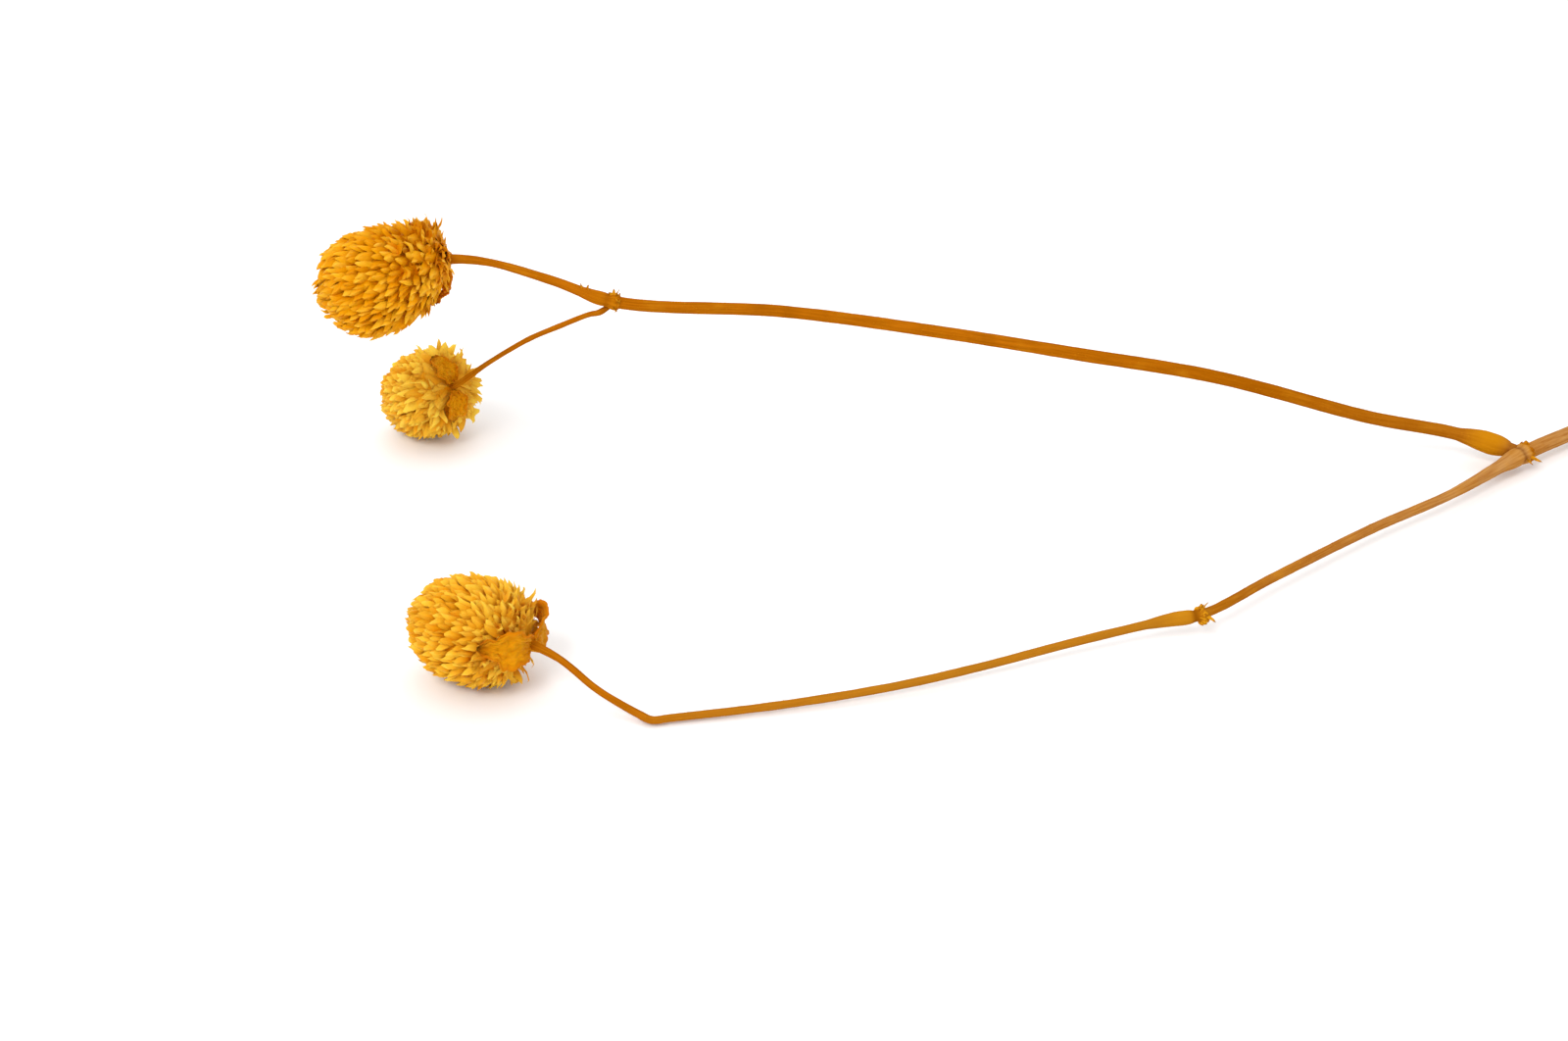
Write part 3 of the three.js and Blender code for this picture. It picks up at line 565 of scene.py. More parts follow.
def make_head_tree():
    sizes = start_tree("flower head", {
        "Length": USUAL_LENGTH, "Width": USUAL_WIDTH, "Fuller Base": FULLER_BASE, "Skew": 0.0,
        "Bleached": 0.0, "Florets": 150, "Floret Turn": FLORET_TURN, "Pair Step": PAIR_STEP, "Seed": 1,
        "Scale Size": 1.0, "Loose Count": 44, "Collar Count": 56, "Prong Count": 9, "Tuft Count": 22,
        "Base": "Vector", "Turn": "Vector", "Ruffled Side": "Vector", "Set Scales": "Collection",
        "Loose Scales": "Collection", "Collar Scales": "Collection", "Prongs": "Collection",
        "Bracts": "Collection", "Material": "Material"})
    index = add("GeometryNodeInputIndex")

    def outline(share):
        values = {name: sizes[name] for name in ("Length", "Width", "Fuller Base")}
        made = add("GeometryNodeGroup", {"Share": share, **values}, node_tree=OUTLINE_GROUP)
        return made["Height"], made["Reach"]

    def on_surface(share, turn, sink):
        """The place, outward direction and direction to the apex at a spot of the outline."""
        height, reach = outline(share)
        height_on, reach_on = outline(share + 0.01)
        height_by, reach_by = outline(share - 0.01)
        climb, widen = height_on - height_by, reach_on - reach_by
        cosine, sine = calc("COSINE", turn), calc("SINE", turn)
        ahead = calc("NORMALIZE", arrow(cosine * widen, sine * widen, climb))
        out = calc("NORMALIZE", arrow(cosine * climb, sine * climb, widen * -1.0))
        aside = sizes["Skew"] * eased(share, 0.05, 0.5, 1.0, 0.0)
        place = arrow(cosine * reach, sine * reach, height) - out * sink + sizes["Ruffled Side"] * aside
        return place, out, ahead

    def standing(out, ahead, lift, roll, swing):
        facing = add("FunctionNodeAlignRotationToVector", {2: out}, axis="Z")
        facing = add("FunctionNodeAlignRotationToVector", {0: facing, 2: ahead}, axis="Y", pivot_axis="Z")
        return turned_on(facing, lift, roll, swing)

    def by_side(out, *span):
        """A number that goes by how far a place faces the head's ruffled side."""
        return eased(calc("DOT_PRODUCT", out, sizes["Ruffled Side"]), *span)

    def ruffled(out, most):
        """How much more the scales of the ruffled side stand off."""
        return by_side(out, 0.1, 0.85, 0.0, most)

    leaves = real(add("GeometryNodeCollectionInfo", {0: sizes["Bracts"]}))

    def planted(count, box, place, rotation, size, share, seed, clearance, length):
        """Scales from a box at worked-out places, left out where they would pierce a bract."""
        heading = add("FunctionNodeRotateVector", {0: SCALE_AIM, 1: rotation})
        points = add("GeometryNodePoints", {0: count, 1: place})
        points = keep(points, share=share, tone=chance(0.0, 1.0, seed + 5.0), facing=rotation,
                      pick=chance(0.0, SCALE_PICKS, seed), size=size, heading=heading)
        pierced = 0.0
        for further, reach in ((0.0, clearance), (length / 2, clearance * 0.75), (length, clearance * 0.6)):
            tip = add("GeometryNodeInputPosition") + named("heading", "FLOAT_VECTOR") * further
            near = add("GeometryNodeProximity", {0: leaves, 2: tip}, target_element="FACES")
            pierced = calc("MAXIMUM", (near["Distance"] < reach) * near["Is Valid"], pierced)
        points = add("GeometryNodeDeleteGeometry", {0: points, 1: pierced}, domain="POINT")
        facing, size = named("facing", "QUATERNION"), named("size", "FLOAT_VECTOR")
        return copies(points, sizes[box], facing, size, named("pick"))

    # The set scales stand in pairs, each floret a set turn on from the last.
    seed = sizes["Seed"]
    floret = calc("FLOOR", (index + 0.25) * 0.5)
    hand = index % 2.0 * 2.0 - 1.0
    share = evenly((floret + 0.5) / sizes["Florets"]) + chance(-0.012, 0.012, seed + 1.0)
    low = eased(share, 0.05, 0.42, 1.0, 0.0)
    close = eased(share, 0.72, 1.0)
    flat = eased(share, 0.03, 0.16)
    spread = hand * sizes["Pair Step"] / calc("MAXIMUM", outline(share)[1], 1.2)
    turn = floret * (sizes["Floret Turn"] * math.tau) + spread
    place, out, ahead = on_surface(share, turn, chance(0.0, 0.9, seed + 2.0))
    lift = low * flat * 0.42 + close * -0.1 + chance(-0.12, 0.17, seed + 3.0)
    tucked = sizes["Skew"] * by_side(out, -0.75, 0.0, -0.15, 0.0)
    lift = low * flat * (ruffled(out, 0.45) + tucked) + lift
    swing = chance(-1.0, 1.0, seed + 6.0) * (low * 0.3 + 0.24)
    rotation = standing(out, ahead, lift, hand * chance(-0.2, 0.42, seed + 4.0), swing)
    size = sizes["Scale Size"] * eased(share, 0.6, 1.0, 1.0, 0.82)
    size = size * chance(0.88, 1.12, seed + 7.0) * (low * 0.22 + 1.0)
    size = arrow(size, size * (low * 0.3 + 1.0), size)
    parts = [planted(sizes["Florets"] * 2.0, "Set Scales", place, rotation, size, share, seed, 0.5, 1.9)]

    # A few near the stalk have come loose, stand off and curl.
    seed = sizes["Seed"] + 20.0
    share = chance(0.1, 0.36, seed)
    turn = (index + chance(0.0, 0.8, seed + 1.0)) * math.tau / sizes["Loose Count"]
    place, out, ahead = on_surface(share, turn, chance(0.3, 1.6, seed + 2.0))
    lift = chance(-0.1, 0.65, seed + 3.0) + ruffled(out, 0.4)
    rotation = standing(out, ahead, lift, chance(-0.4, 0.4, seed + 4.0), chance(-0.7, 0.7, seed + 6.0))
    size = chance(0.75, 1.2, seed + 7.0) + ruffled(out, 0.15)
    parts.append(planted(sizes["Loose Count"], "Loose Scales", place, rotation, size, share, seed, 1.2, 3.0))

    def strewn(count, box, share, turn, sink, leans, size, seed, clearance, length):
        """Scales that stand all round in the same way."""
        place, out, ahead = on_surface(share, turn, sink)
        rotation = standing(out, ahead, *leans)
        parts.append(planted(count, box, place, rotation, size, share, seed, clearance, length))

    # Short flat ones lie round the stalk and close the underside.
    seed, count = sizes["Seed"] + 40.0, sizes["Collar Count"]
    share = fitted(index / count, 0.0, 1.0, 0.03, 0.3)
    leans = chance(-0.05, 0.3, seed + 2.0), chance(-0.3, 0.3, seed + 3.0), chance(-0.4, 0.4, seed + 4.0)
    strewn(count, "Collar Scales", share, index * SCALE_TURN, chance(0.2, 0.7, seed + 1.0), leans,
           chance(1.1, 1.55, seed + 6.0), seed, 0.7, 2.2)

    # A few thin dry prongs stand out round the stalk.
    seed = sizes["Seed"] + 60.0
    leans = chance(-0.1, 0.6, seed + 1.0), 0.0, chance(-0.8, 0.8, seed + 2.0)
    strewn(sizes["Prong Count"], "Prongs", chance(0.07, 0.2, seed), index * PRONG_TURN, 0.3, leans,
           chance(0.6, 1.0, seed + 3.0), seed, 1.2, 3.4)

    # Small upright ones close the crown.
    seed, count = sizes["Seed"] + 80.0, sizes["Tuft Count"]
    share = fitted(index / count, 0.0, 1.0, 0.992, 0.9)
    leans = chance(0.15, 0.5, seed + 1.0), chance(-0.2, 0.2, seed + 2.0), chance(-0.4, 0.4, seed + 3.0)
    strewn(count, "Set Scales", share, index * SCALE_TURN, chance(-0.3, 0.3, seed), leans,
           sizes["Scale Size"] * chance(0.6, 0.85, seed + 4.0), seed, 0.5, 1.4)

    # The dark heart that shows between them, in the scales' darker foot colour: painted shade in the gaps.
    x, y, z = position()
    share = calc("ARCCOSINE", z * -1.0) / math.pi
    deep, _, _ = on_surface(share, calc("ARCTAN2", y, x), fitted(share, 0.0, 0.3) + 0.8)
    heart = moved(add("GeometryNodeMeshUVSphere", {0: 36, 1: 24, 2: 1.0}), deep)
    heart = smoothed(keep(heart, along=0.12, tone=0.5, share=share))

    both = keep(joined(*parts, heart), bleached=sizes["Bleached"])
    ripple, crinkle = (noise(scale, 1.0)["Color"] - (0.5, 0.5, 0.5) for scale in (0.35, 1.5))
    uneven = shifted(both, ripple * 1.1 + crinkle * 0.5)
    placed = add("GeometryNodeTransform", {0: uneven, 1: sizes["Base"], 2: sizes["Turn"]})
    return finish_tree(placed, sizes)


# Stalk and branches

def make_stalk_tree():
    sizes = start_tree("stalk and branches", {
        "Paths": "Object", "Stubs": "Object", "Torn Bits": "Collection", "Sides": 26, "Ribs": 7.0,
        "Rib Depth": 0.045, "Lumps": 0.1, "Hair Density": 0.42, "Hair Length": 0.42, "Seed": 3,
        "Material": "Material"})
    rail = add("GeometryNodeMeshToCurve", {0: in_object(sizes["Paths"])})
    rail, run = captured(rail, "run", add("GeometryNodeSplineParameter")["Length"])
    ring = add("GeometryNodeCurvePrimitiveCircle", {0: sizes["Sides"], 4: 1.0})
    ring, turn = captured(ring, "turn", add("GeometryNodeSplineParameter")["Factor"])
    turn = turn * math.tau
    skin = add("GeometryNodeCurveToMesh", {0: rail, 1: ring, 2: named("thick"), 3: True})
    grain = arrow(calc("COSINE", turn), calc("SINE", turn), run * 0.05)
    skin = keep(skin, grain=grain)
    rib = calc("SINE", turn * sizes["Ribs"] + run * 0.02) * sizes["Rib Depth"] * named("thick")
    lump = (noise(0.22, 3.0) - 0.5) * sizes["Lumps"] * (named("swell") * 2.5 + 1.5)
    bark = shifted(skin, add("GeometryNodeInputNormal") * (rib + lump))
    bark = keep(smoothed(bark), hair=0.0)

    spread = add("GeometryNodeDistributePointsOnFaces", {0: bark, 4: sizes["Hair Density"], 6: sizes["Seed"]})
    spike = add("GeometryNodeMeshCone", {0: 3, 3: 0.0, 4: HAIR_THICKNESS, 5: 1.0}, fill_type="TRIANGLE_FAN")
    tilt = turned_on(spread["Rotation"], chance(0.95, 1.4, 31), 0.0, chance(0.0, math.tau, 32))
    long = sizes["Hair Length"] * chance(0.5, 1.4, 33)
    hairs = keep(copies(spread, spike, tilt, arrow(1.0, 1.0, long)), hair=1.0)

    feet = add("GeometryNodeMeshToPoints", {0: in_object(sizes["Stubs"]), 3: 0.1})
    aim = add("FunctionNodeAlignRotationToVector", {2: named("aim", "FLOAT_VECTOR")}, axis="Y")
    aim = turned_on(aim, 0.0, chance(0.0, math.tau, 41), 0.0)
    size = arrow(named("broad"), named("tall"), named("broad"))
    torn = copies(feet, sizes["Torn Bits"], aim, size, chance(0.0, TORN_PICKS, 42))
    return finish_tree(joined(torn, hairs, bark), sizes)


def swelling(share):
    """A node's swelling: steep where it starts, and drawn out to nothing."""
    return math.sin(math.pi * share ** 0.72) ** 1.1 if 0 < share < 1 else 0.0


def point_mesh(name, places, edges, **numbers):
    """Points and edges alone, with numbers that each point carries."""
    mesh = bpy.data.meshes.new(name)
    mesh.from_pydata([tuple(place) for place in places], edges, [])
    for label, values in numbers.items():
        mesh.attributes.new(label, "FLOAT", "POINT").data.foreach_set("value", values)
    return bpy.data.objects.new(name, mesh)


def chain(start, stop):
    return [(k, k + 1) for k in range(start, stop - 1)]


def limb_paths():
    """All limbs as chains of points that carry their thickness, swelling, painted crease shade, ochre and
    age.
    """
    places, edges, thick, swell, crease, ochre, age = [], [], [], [], [], [], []
    for way, nodes in LIMBS:
        lower = way is LOWER_WAY
        smooth = smooth_way([place for place, _ in way], 0.5)
        runs = [0.0]
        for (before, _), (after, _) in zip(smooth, smooth[1:]):
            runs.append(runs[-1] + (after - before).length)
        start = len(places)
        node_runs = [next(run for run, (_, at) in zip(runs, smooth) if at >= index) for index, *_ in nodes]
        for (place, at), run in zip(smooth, runs):
            i = min(int(at), len(way) - 2)
            # Painted shade darkens the crease where a branch starts and the groove past each node's ring.
            bulge, dark = 0.0, 0.0 if lower else max(0.0, CREASE_START - run / CREASE_FADE)
            for (_, ring, ring_reach, rise, reach), node_run in zip(nodes, node_runs):
                past = run - node_run
                bulge += ring * max(0.0, 1 - (past / ring_reach) ** 2)
                groove = held(1 - abs(past - ring_reach - GROOVE_OFF) / GROOVE_HALF) if ring else 0.0
                bulge -= GROOVE_DEPTH * groove
                dark = max(dark, groove * (0.5 if way is UPPER_WAY else 1.0))
                bulge += rise * swelling(past / reach)
            places.append(place)
            thick.append(way[i][1] + (way[i + 1][1] - way[i][1]) * (at - i) + bulge)
            swell.append(held(bulge))
            crease.append(min(1.0, dark))
            past = at - LOWER_NODE_AT
            golden = held(max(past * 2, 1 - abs(past) / 0.15)) * held((FADED_AT - at) / 5)
            ochre.append(golden if lower else 0.0)
            between = lower and FORK_AT < at < LOWER_NODE_AT
            faded = FORK_AGE - (at - FORK_AT) * AGE_LOSS
            age.append(faded if between else held((place.x - AGE_FROM) / AGE_REACH))
        edges += chain(start, len(places))
    return point_mesh("limb_paths", places, edges, thick=thick, swell=swell, crease=crease, ochre=ochre,
                      age=age)


def square_to(direction, hint):
    return (hint - direction * hint.dot(direction)).normalized()


# Rings of torn leaf bases: the middle, the way they lean back from, radius, count, length and gold.
STUB_RINGS = [
    (FORK, towards(-0.77, -0.64, 0), 2.1, 18, 0.35, 0.15),
    (LOWER_NODE, towards(-0.85, -0.5, 0), 1.4, 20, 0.6, 0.8),
    (UPPER_NODE, towards(-0.95, 0, 0.3), 1.6, 18, 0.3, 0.7),
    (STALK_NODE, towards(-0.87, -0.5, 0), 2.0, 14, 0.5, 0.2),
]
# Single larger ones: the foot and gold, then an aim, a height and a breadth each.
LARGE_STUBS = [
    (UPPER_NODE, 0.7, [
        ((-0.05, -0.1, 1), 2.8, 1.2), ((0.3, 0.1, 1), 2.9, 1.0), ((-0.5, 0.1, 1), 2.5, 1.2),
        ((0.15, -0.25, 1), 2.6, 0.9), ((-0.3, -0.2, 1), 2.3, 1.2), ((0.45, -0.3, 1), 2.3, 1.0)]),
    (UPPER_NODE + Vector((-5.2, 0.5, 1.6)), 0.6, [((-0.9, -0.1, 1), 2.5, 1.7)]),
    (UPPER_NODE + Vector((-4.9, 0.4, 1.6)), 0.6, [((-0.2, -0.3, 1), 2.0, 1.7)]),
    (FORK, 0.6, [
        ((0.8, -0.75, -0.1), 4.3, 1.0), ((0.35, -0.95, -0.3), 3.9, 1.3), ((0.55, -0.85, 0.1), 3.9, 0.8),
        ((0.1, -1, -0.1), 3.0, 1.2)]),
    (LOWER_NODE, 0.8, [
        ((0.25, 0.0, 1), 3.0, 1.7), ((-0.2, -0.2, 1), 2.5, 1.4), ((0.9, -0.6, -0.1), 3.2, 1.7),
        ((0.3, -1, -0.2), 2.6, 1.4)]),
]


def torn_stubs():
    """Where the torn leaf bases stand, each with an aim, a height, a breadth and how golden it is."""
    draw = random.Random(71)
    stubs = []
    for centre, along, radius, count, length, gold in STUB_RINGS:
        start = square_to(along, Vector((0, 0.2, 1)))
        side = along.cross(start)
        for i in range(count):
            turn = (i + 0.5 * draw.random()) / count * math.tau
            out = start * math.cos(turn) + side * math.sin(turn)
            lean = out - along * draw.uniform(0.0, 1.3)
            foot = centre + out * radius * 0.45 + along * draw.uniform(-0.5, 0.9)
            height = radius * 0.65 + length * draw.uniform(0.4, 1.3)
            stubs.append((foot, lean, height, draw.uniform(1.2, 2.2), gold))
    for foot, gold, bits in LARGE_STUBS:
        stubs += [(foot, Vector(aim), height, breadth, gold) for aim, height, breadth in bits]
    feet, aims, tall, broad, golden = zip(*stubs)
    # The stalk's finish turns what is marked as hair golden.
    made = point_mesh("torn_stubs", feet, [], tall=tall, broad=broad, hair=golden)
    numbers = [number for aim in aims for number in aim.normalized()]
    made.data.attributes.new("aim", "FLOAT_VECTOR", "POINT").data.foreach_set("vector", numbers)
    return made


def cut_across(piece):
    """The cut end of the stalk: a rind with a sunken pith, from the round cap."""
    made = bmesh.new()
    made.from_mesh(piece.data)
    pith = made.verts.layers.float.new("pith")
    cap = max((f for f in made.faces if len(f.verts) > 12), key=lambda f: f.calc_center_median().x)
    for width, depth in CUT_STEPS:
        bmesh.ops.inset_individual(made, faces=[cap], thickness=width, depth=depth)
    centre = bmesh.ops.poke(made, faces=[cap])["verts"][0]
    for vert in made.verts:
        if (vert.co - centre.co).length_squared < PITH_RADIUS ** 2:
            vert[pith] = 1.0
    made.to_mesh(piece.data)
    made.free()


# Papery bracts under the heads

def make_bract_tree():
    sizes = start_tree("papery bract", {
        "Middle Line": "Object", "Facing": "Vector", "Width": 6.0, "Cup": 0.3, "Wave": 0.5, "Phase": 0.0,
        "Age": 0.5, "Thickness": 0.2, "Rows": 44, "Columns": 25, "Vein Height": 0.09, "Material": "Material"})
    line = add("GeometryNodeMeshToCurve", {0: in_object(sizes["Middle Line"])})
    x, y, _ = position()
    shape = add("GeometryNodeMeshGrid", {0: 1.0, 1: 2.0, 2: sizes["Rows"], 3: sizes["Columns"]})
    shape = keep(shape, along=x + 0.5, across=y, age=sizes["Age"])
    u, v, phase = named("along"), named("across"), sizes["Phase"]
    off_middle = calc("ABSOLUTE", v)
    on_line = add("GeometryNodeSampleCurve", {0: line, 2: u})
    facing, tangent = sizes["Facing"], on_line["Tangent"]
    up = calc("NORMALIZE", facing - tangent * calc("DOT_PRODUCT", facing, tangent))
    side = calc("CROSS_PRODUCT", tangent, up)

    # How far out it reaches, with a torn rim.
    bow = calc("SINE", u * (0.86 * math.pi) + 0.12 * math.pi) ** 0.8
    half = calc("MAXIMUM", sizes["Width"] * 0.5 * bow, 0.25)
    ragged = calc("SINE", u * 13.0 + phase) * 0.1 + 1.0
    torn = (noise(7.0, 2.0, arrow(u, calc("SIGN", v), phase)) - 0.5) * (u * 1.5 + 0.25) + ragged
    reach = half * calc("MAXIMUM", torn, 0.2) * v

    # How it waves, crumples, cups and stands up in veins.
    ripple = calc("SINE", u * 9.0 + phase + (v > 0.0) * 1.7) * sizes["Wave"] * (off_middle * u)
    crumple = (noise(3.2, 3.0, arrow(u * 2.0, v, phase)) - 0.5) * 1.7
    creases = calc("ABSOLUTE", noise(8.0, 1.0, arrow(u, v * 0.8, phase)) - 0.5)
    crumple = calc("SINE", v * 15.0 + u * 3.0) * off_middle * 0.12 + (creases * 1.6 + crumple)
    branch = eased(calc("SINE", (off_middle * -0.55 + u) * 44.0), 0.6, 1.0, 0.0, 0.6)
    vein = calc("MAXIMUM", eased(off_middle, 0.0, 0.12, 1.0, 0.0), branch)
    shape = keep(shape, vein=vein)
    rise = ripple + crumple - v * v * half * sizes["Cup"] + vein * (sizes["Vein Height"] * -1.0)

    front = moved(shape, on_line["Position"] + side * reach + up * rise)
    front = shifted(front, add("GeometryNodeInputNormal") * (sizes["Thickness"] * -0.5))
    raised = add("GeometryNodeExtrudeMesh", {0: front, 3: sizes["Thickness"], 4: False})
    rear = add("GeometryNodeFlipFaces", {0: front})
    closed = add("GeometryNodeMergeByDistance", {0: joined(raised, rear), 2: 0.002})
    return finish_tree(smoothed(closed), sizes)


def middle_line(name, head, side, line):
    """The line that a bract follows, out from under its head, and the way its face looks."""
    base, axis = HEADS[head]["Base"], HEADS[head]["axis"]
    out = square_to(axis, Vector(side))
    corners = [base + out * reach + axis * rise for reach, rise in line]
    places = [place for place, _ in smooth_way(corners, 0.3)]
    return point_mesh(name, places, chain(0, len(places))), axis - out * 0.4


# Finishes, made of nodes

def colour(code):
    """A colour from its six-digit code, as Blender's nodes want it."""
    parts = [int(code[k:k + 2], 16) / 255 for k in (0, 2, 4)]
    return (*[p / 12.92 if p <= 0.04045 else ((p + 0.055) / 1.055) ** 2.4 for p in parts], 1.0)


def mixed(share, first, second):
    """The first colour drawn to the second, which may be a code, as far as a share says."""
    second = colour(second) if isinstance(second, str) else second
    return add("ShaderNodeMix", {0: share, 6: first, 7: second}, data_type="RGBA")[2]


def make_fibre_group():
    """Fine streaks along what has grown: a mask for the colour and a height for the relief."""
    sizes = start_tree("dried fibres", {"Grain": "Vector", "Fineness": 8.0, "Stretch": 0.3}, "ShaderNodeTree")
    drawn = sizes["Grain"] * arrow(1.0, 1.0, sizes["Stretch"])
    broad = noise(sizes["Fineness"], 3.0, drawn, 0.6)
    fine = noise(sizes["Fineness"] * 3.1, 2.0, drawn)
    return end_tree(Streaks=fitted(broad, 0.36, 0.66), Height=fine * 0.5 + broad)


def make_tone_group():
    """Uneven dye: a colour drawn to a paler and a deeper one by a number for the piece and by blotches."""
    sizes = start_tree("uneven dye", {
        "Colour": "Color", "Pale": "Color", "Deep": "Color", "Tone": 0.5, "Blotch Scale": 300.0,
        "Blotches": 0.5}, "ShaderNodeTree")
    blotch = noise(sizes["Blotch Scale"], 3.0, add("ShaderNodeTexCoord")["Object"], 0.55)
    tone = sizes["Tone"] + (blotch - 0.5) * sizes["Blotches"]
    paler = mixed(fitted(tone, 0.55, 1.1, 0.0, 0.6), sizes["Colour"], sizes["Pale"])
    return end_tree(Colour=mixed(fitted(tone, 0.45, -0.1, 0.0, 0.7), paler, sizes["Deep"]))


FIBRE_GROUP = make_fibre_group()
TONE_GROUP = make_tone_group()


def new_finish(name):
    """A new material, with the surface node that the others feed."""
    material = bpy.data.materials.new(name)
    material.use_nodes = True
    Desk.tree = material.node_tree
    return material, Desk.tree.nodes["Principled BSDF"]


def read(name, outlet="Fac"):
    return add("ShaderNodeAttribute", attribute_name=name)[outlet]


def ramp(value, *stops):
    made = add("ShaderNodeValToRGB", {0: value})
    elements = made.socket.node.color_ramp.elements
    while len(elements) < len(stops):
        elements.new(0.5)
    for stop, (place, code) in zip(elements, stops):
        stop.position, stop.color = place, colour(code)
    return made


def dye(base, pale, deep, tone, scale, blotches):
    values = {"Colour": base, "Pale": colour(pale), "Deep": colour(deep), "Tone": tone,
              "Blotch Scale": scale, "Blotches": blotches}
    return add("ShaderNodeGroup", values, node_tree=TONE_GROUP)


def fibres(grain, fineness, stretch):
    values = {"Grain": grain, "Fineness": fineness, "Stretch": stretch}
    made = add("ShaderNodeGroup", values, node_tree=FIBRE_GROUP)
    return made["Streaks"], made["Height"]


def relief(height, strength, distance):
    return add("ShaderNodeBump", {0: strength, 1: distance, "Height": height})


def make_scale_finish():
    material, surface = new_finish("golden scales")
    along, across, tone, share = (read(name) for name in ("along", "across", "tone", "share"))
    # Each scale is darker towards its foot, which lies deep between the scales: painted shade.
    base = ramp(along, (0.0, "c66e00"), (0.28, "d58000"), (0.5, "dc9002"), (0.72, "e29a08"), (1.0, "e8a614"))
    dyed = dye(base, "f6be2c", "d48200", tone, 420.0, 0.7)
    streaks, height = fibres(arrow(tone * 9.0 + across, tone, along), 5.0, 0.35)
    streaked = mixed(streaks * 0.38, dyed, "c87c00")
    # A painted highlight along each scale's keel towards its tip, drawn to fcd35e.
    painted_keel_highlight = eased(calc("ABSOLUTE", across), 0.1, 0.75, 1.0, 0.0)
    painted_keel_highlight = painted_keel_highlight * eased(along, 0.4, 0.75) * fitted(height, 0.64, 0.95)
    painted_keel_highlight = painted_keel_highlight * fitted(tone, 0.2, 1.0, 0.12, 0.5)
    bleached = read("bleached") * eased(along, 0.1, 0.9, 0.0, 0.85)
    bleached = bleached * fitted(tone, 0.0, 0.8, 0.35, 1.0)
    paler = mixed(bleached, mixed(painted_keel_highlight, streaked, "fcd35e"), "f5dc56")
    browned = eased(along, 0.82, 1.0) * fitted(tone, 0.0, 0.3, 0.8, 0.0)
    near_stalk = eased(share, 0.0, 0.2, 0.5, 0.0)
    plug(surface, {
        "Base Color": mixed(near_stalk, mixed(browned, paler, "9a5600"), "c47400"),
        "Roughness": fitted(streaks, 0.0, 1.0, 0.5, 0.68), "Normal": relief(height, 0.5, 0.00012),
        "Specular IOR Level": 0.12, "Specular Tint": colour("ffc860"), "Subsurface Weight": 0.12,
        "Subsurface Radius": (1.0, 0.4, 0.05), "Subsurface Scale": 0.0007})
    return material


def make_stalk_finish():
    material, surface = new_finish("dried stalk")
    base = ramp(read("age"), (0.0, "b26408"), (0.3, "a05804"), (0.57, "a86614"), (0.66, "bb8a50"),
                (1.0, "bb8a50"))
    dyed = dye(base, "c98716", "8c4a02", 0.5, 160.0, 1.6)
    streaks, height = fibres(read("grain", "Vector"), 3.4, 0.8)
    look = mixed(streaks * 0.6, dyed, "8c4a00")
    torn_tip = eased(read("along"), 0.6, 1.0, 0.0, 0.8)
    # Among these, the dark 6e3600 in creases and grooves is painted shade.
    for share, code in (
            (read("ochre") * 0.5, "ae7a22"), (fitted(read("swell"), 0.15, 0.9, 0.0, 0.55), "c98508"),
            (read("crease") * 0.6, "6e3600"), (read("hair"), "d89a1c"), (torn_tip, "7a4404"),
            (read("pith"), "cdb083")):
        look = mixed(share, look, code)
    plug(surface, {
        "Base Color": look, "Roughness": fitted(streaks, 0.0, 1.0, 0.6, 0.78),
        "Normal": relief(height, 0.6, 0.00018), "Specular IOR Level": 0.0, "Specular Tint": colour("ffd080")})
    return material


def make_bract_finish():
    material, surface = new_finish("papery bract")
    along, across, vein = (read(name) for name in ("along", "across", "vein"))
    young = ramp(along, (0.0, "d07c00"), (0.35, "e09406"), (0.78, "e09208"), (0.9, "b86a02"), (1.0, "3e2002"))
    old = ramp(along, (0.0, "c67600"), (0.3, "c6860a"), (0.75, "bc7c0a"), (0.9, "8c5002"), (1.0, "3e2002"))
    dyed = dye(mixed(read("age"), young, old), "dca42c", "b06c00", 0.5, 380.0, 1.6)
    streaks, height = fibres(arrow(across * 2.0, 0.0, along), 6.0, 0.5)
    streaked = mixed(streaks * 0.3, mixed(vein * 0.35, dyed, "a86200"), "ba7200")
    rim = eased(calc("ABSOLUTE", across), 0.7, 1.0, 0.0, 0.55)
    plug(surface, {
        "Base Color": mixed(rim, streaked, "bc6200"), "Roughness": fitted(streaks, 0.0, 1.0, 0.6, 0.78),
        "Normal": relief(height, 0.6, 0.0002), "Specular IOR Level": 0.12, "Specular Tint": colour("ffd080"),
        "Subsurface Weight": 0.3, "Subsurface Radius": (1.0, 0.5, 0.08), "Subsurface Scale": 0.0006})
    return material


# Putting the plant together

scale_finish = make_scale_finish()
stalk_finish = make_stalk_finish()
bract_finish = make_bract_finish()

bract_tree = make_bract_tree()
bracts = {}
for name, (head, side, line, width, cup, wave, phase, age) in BRACTS.items():
    path, facing = middle_line(name + "_line", head, side, line)
    bracts[name] = grown(name + "_leaf", bract_tree, {
        "Middle Line": path, "Facing": facing, "Width": width, "Cup": cup, "Wave": wave, "Phase": phase,
        "Age": age, "Material": bract_finish})
    clear([path])

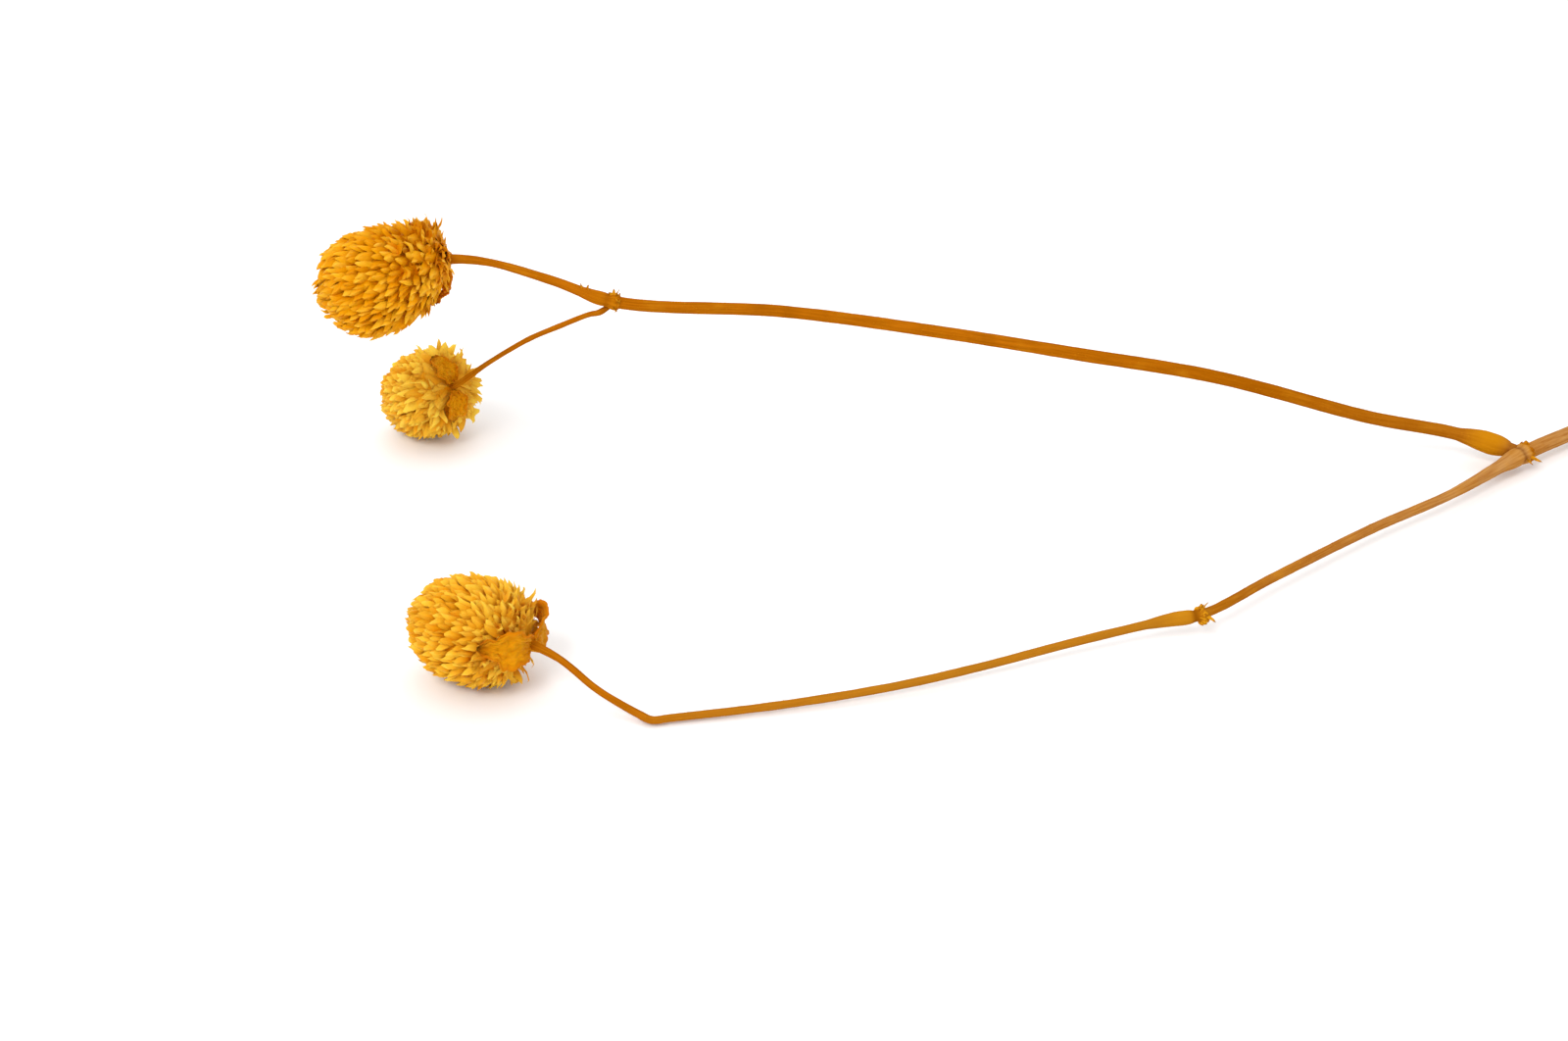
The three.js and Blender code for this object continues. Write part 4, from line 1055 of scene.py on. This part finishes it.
head_tree = make_head_tree()
heads = {}
for name, head in HEADS.items():
    turn = Vector((0, 0, 1)).rotation_difference(head["axis"])
    upright = turn.inverted().to_matrix().to_4x4()
    to_head = upright @ Matrix.Translation(-head["Base"]) @ Matrix.Scale(1 / MM, 4)
    leaves = bpy.data.collections.new(name + " bracts")
    for bract_name, entry in BRACTS.items():
        if entry[0] == name:
            copy = bracts[bract_name].copy()
            copy.data = bracts[bract_name].data.copy()
            copy.data.transform(to_head)
            leaves.objects.link(copy)
    heads[name] = grown(name + "_scales", head_tree, {
        **head, "Scale Size": SCALE_SIZE * head["Width"] / USUAL_WIDTH, "Turn": turn.to_euler(),
        "Ruffled Side": turn.inverted() @ Vector(head["ruffled"]).normalized(),
        "Set Scales": set_scales, "Loose Scales": loose_scales, "Collar Scales": collar_scales,
        "Prongs": prongs, "Bracts": leaves, "Material": scale_finish})
    clear(leaves.objects)

paths, stubs = limb_paths(), torn_stubs()
stalk = grown("stem_stalk", make_stalk_tree(), {
    "Paths": paths, "Stubs": stubs, "Torn Bits": torn_bits, "Material": stalk_finish})
cut_across(stalk)
clear([paths, stubs])
for box in (set_scales, loose_scales, collar_scales, prongs, torn_bits):
    clear(box.objects)

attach(stalk, "root")
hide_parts("stem")
for name, piece in heads.items():
    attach(piece, "root")
    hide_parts(name)
for name, piece in bracts.items():
    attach(piece, "root")
    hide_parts(name)


# Floor, light and camera, in metres and degrees

FLOOR_REACH, FLOOR_GREY = 6, 0.93
LAMPS = (("window", 1.4, 24, (38, -22, 0)), ("back light", 0.3, 40, (-35, 10, 0)))
CAMERA_PLACE, CAMERA_TILT, CAMERA_LENS = (-0.0841, -0.5398, 0.2959), 61, 70.0


def make_floor():
    mesh = bpy.data.meshes.new("floor")
    corners = [(FLOOR_REACH * x, FLOOR_REACH * y, 0) for x, y in ((-1, -1), (1, -1), (1, 1), (-1, 1))]
    mesh.from_pydata(corners, [], [(0, 1, 2, 3)])
    floor = shown("floor", mesh)
    material, surface = new_finish("white floor")
    plug(surface, {"Base Color": (FLOOR_GREY, FLOOR_GREY, FLOOR_GREY, 1.0), "Roughness": 0.55})
    mesh.materials.append(material)


def make_light():
    world = bpy.data.worlds.new("studio")
    world.use_nodes = True
    plug(world.node_tree.nodes["Background"], {"Color": (1.0, 1.0, 1.0, 1.0), "Strength": 1.0})
    bpy.context.scene.world = world
    for name, energy, angle, turn in LAMPS:
        light = bpy.data.lights.new(name, "SUN")
        light.energy, light.angle = energy, math.radians(angle)
        shown(name, light).rotation_euler = [math.radians(t) for t in turn]


def make_camera():
    camera = bpy.data.cameras.new("camera")
    camera.lens, camera.sensor_width, camera.sensor_fit = CAMERA_LENS, 36.0, "HORIZONTAL"
    camera.clip_start, camera.clip_end = 0.01, 50.0
    holder = shown("camera", camera)
    holder.location = CAMERA_PLACE
    holder.rotation_euler = (math.radians(CAMERA_TILT), 0, 0)
    bpy.context.scene.camera = holder


make_floor()
make_light()
make_camera()
bpy.context.scene.view_settings.view_transform = "Standard"
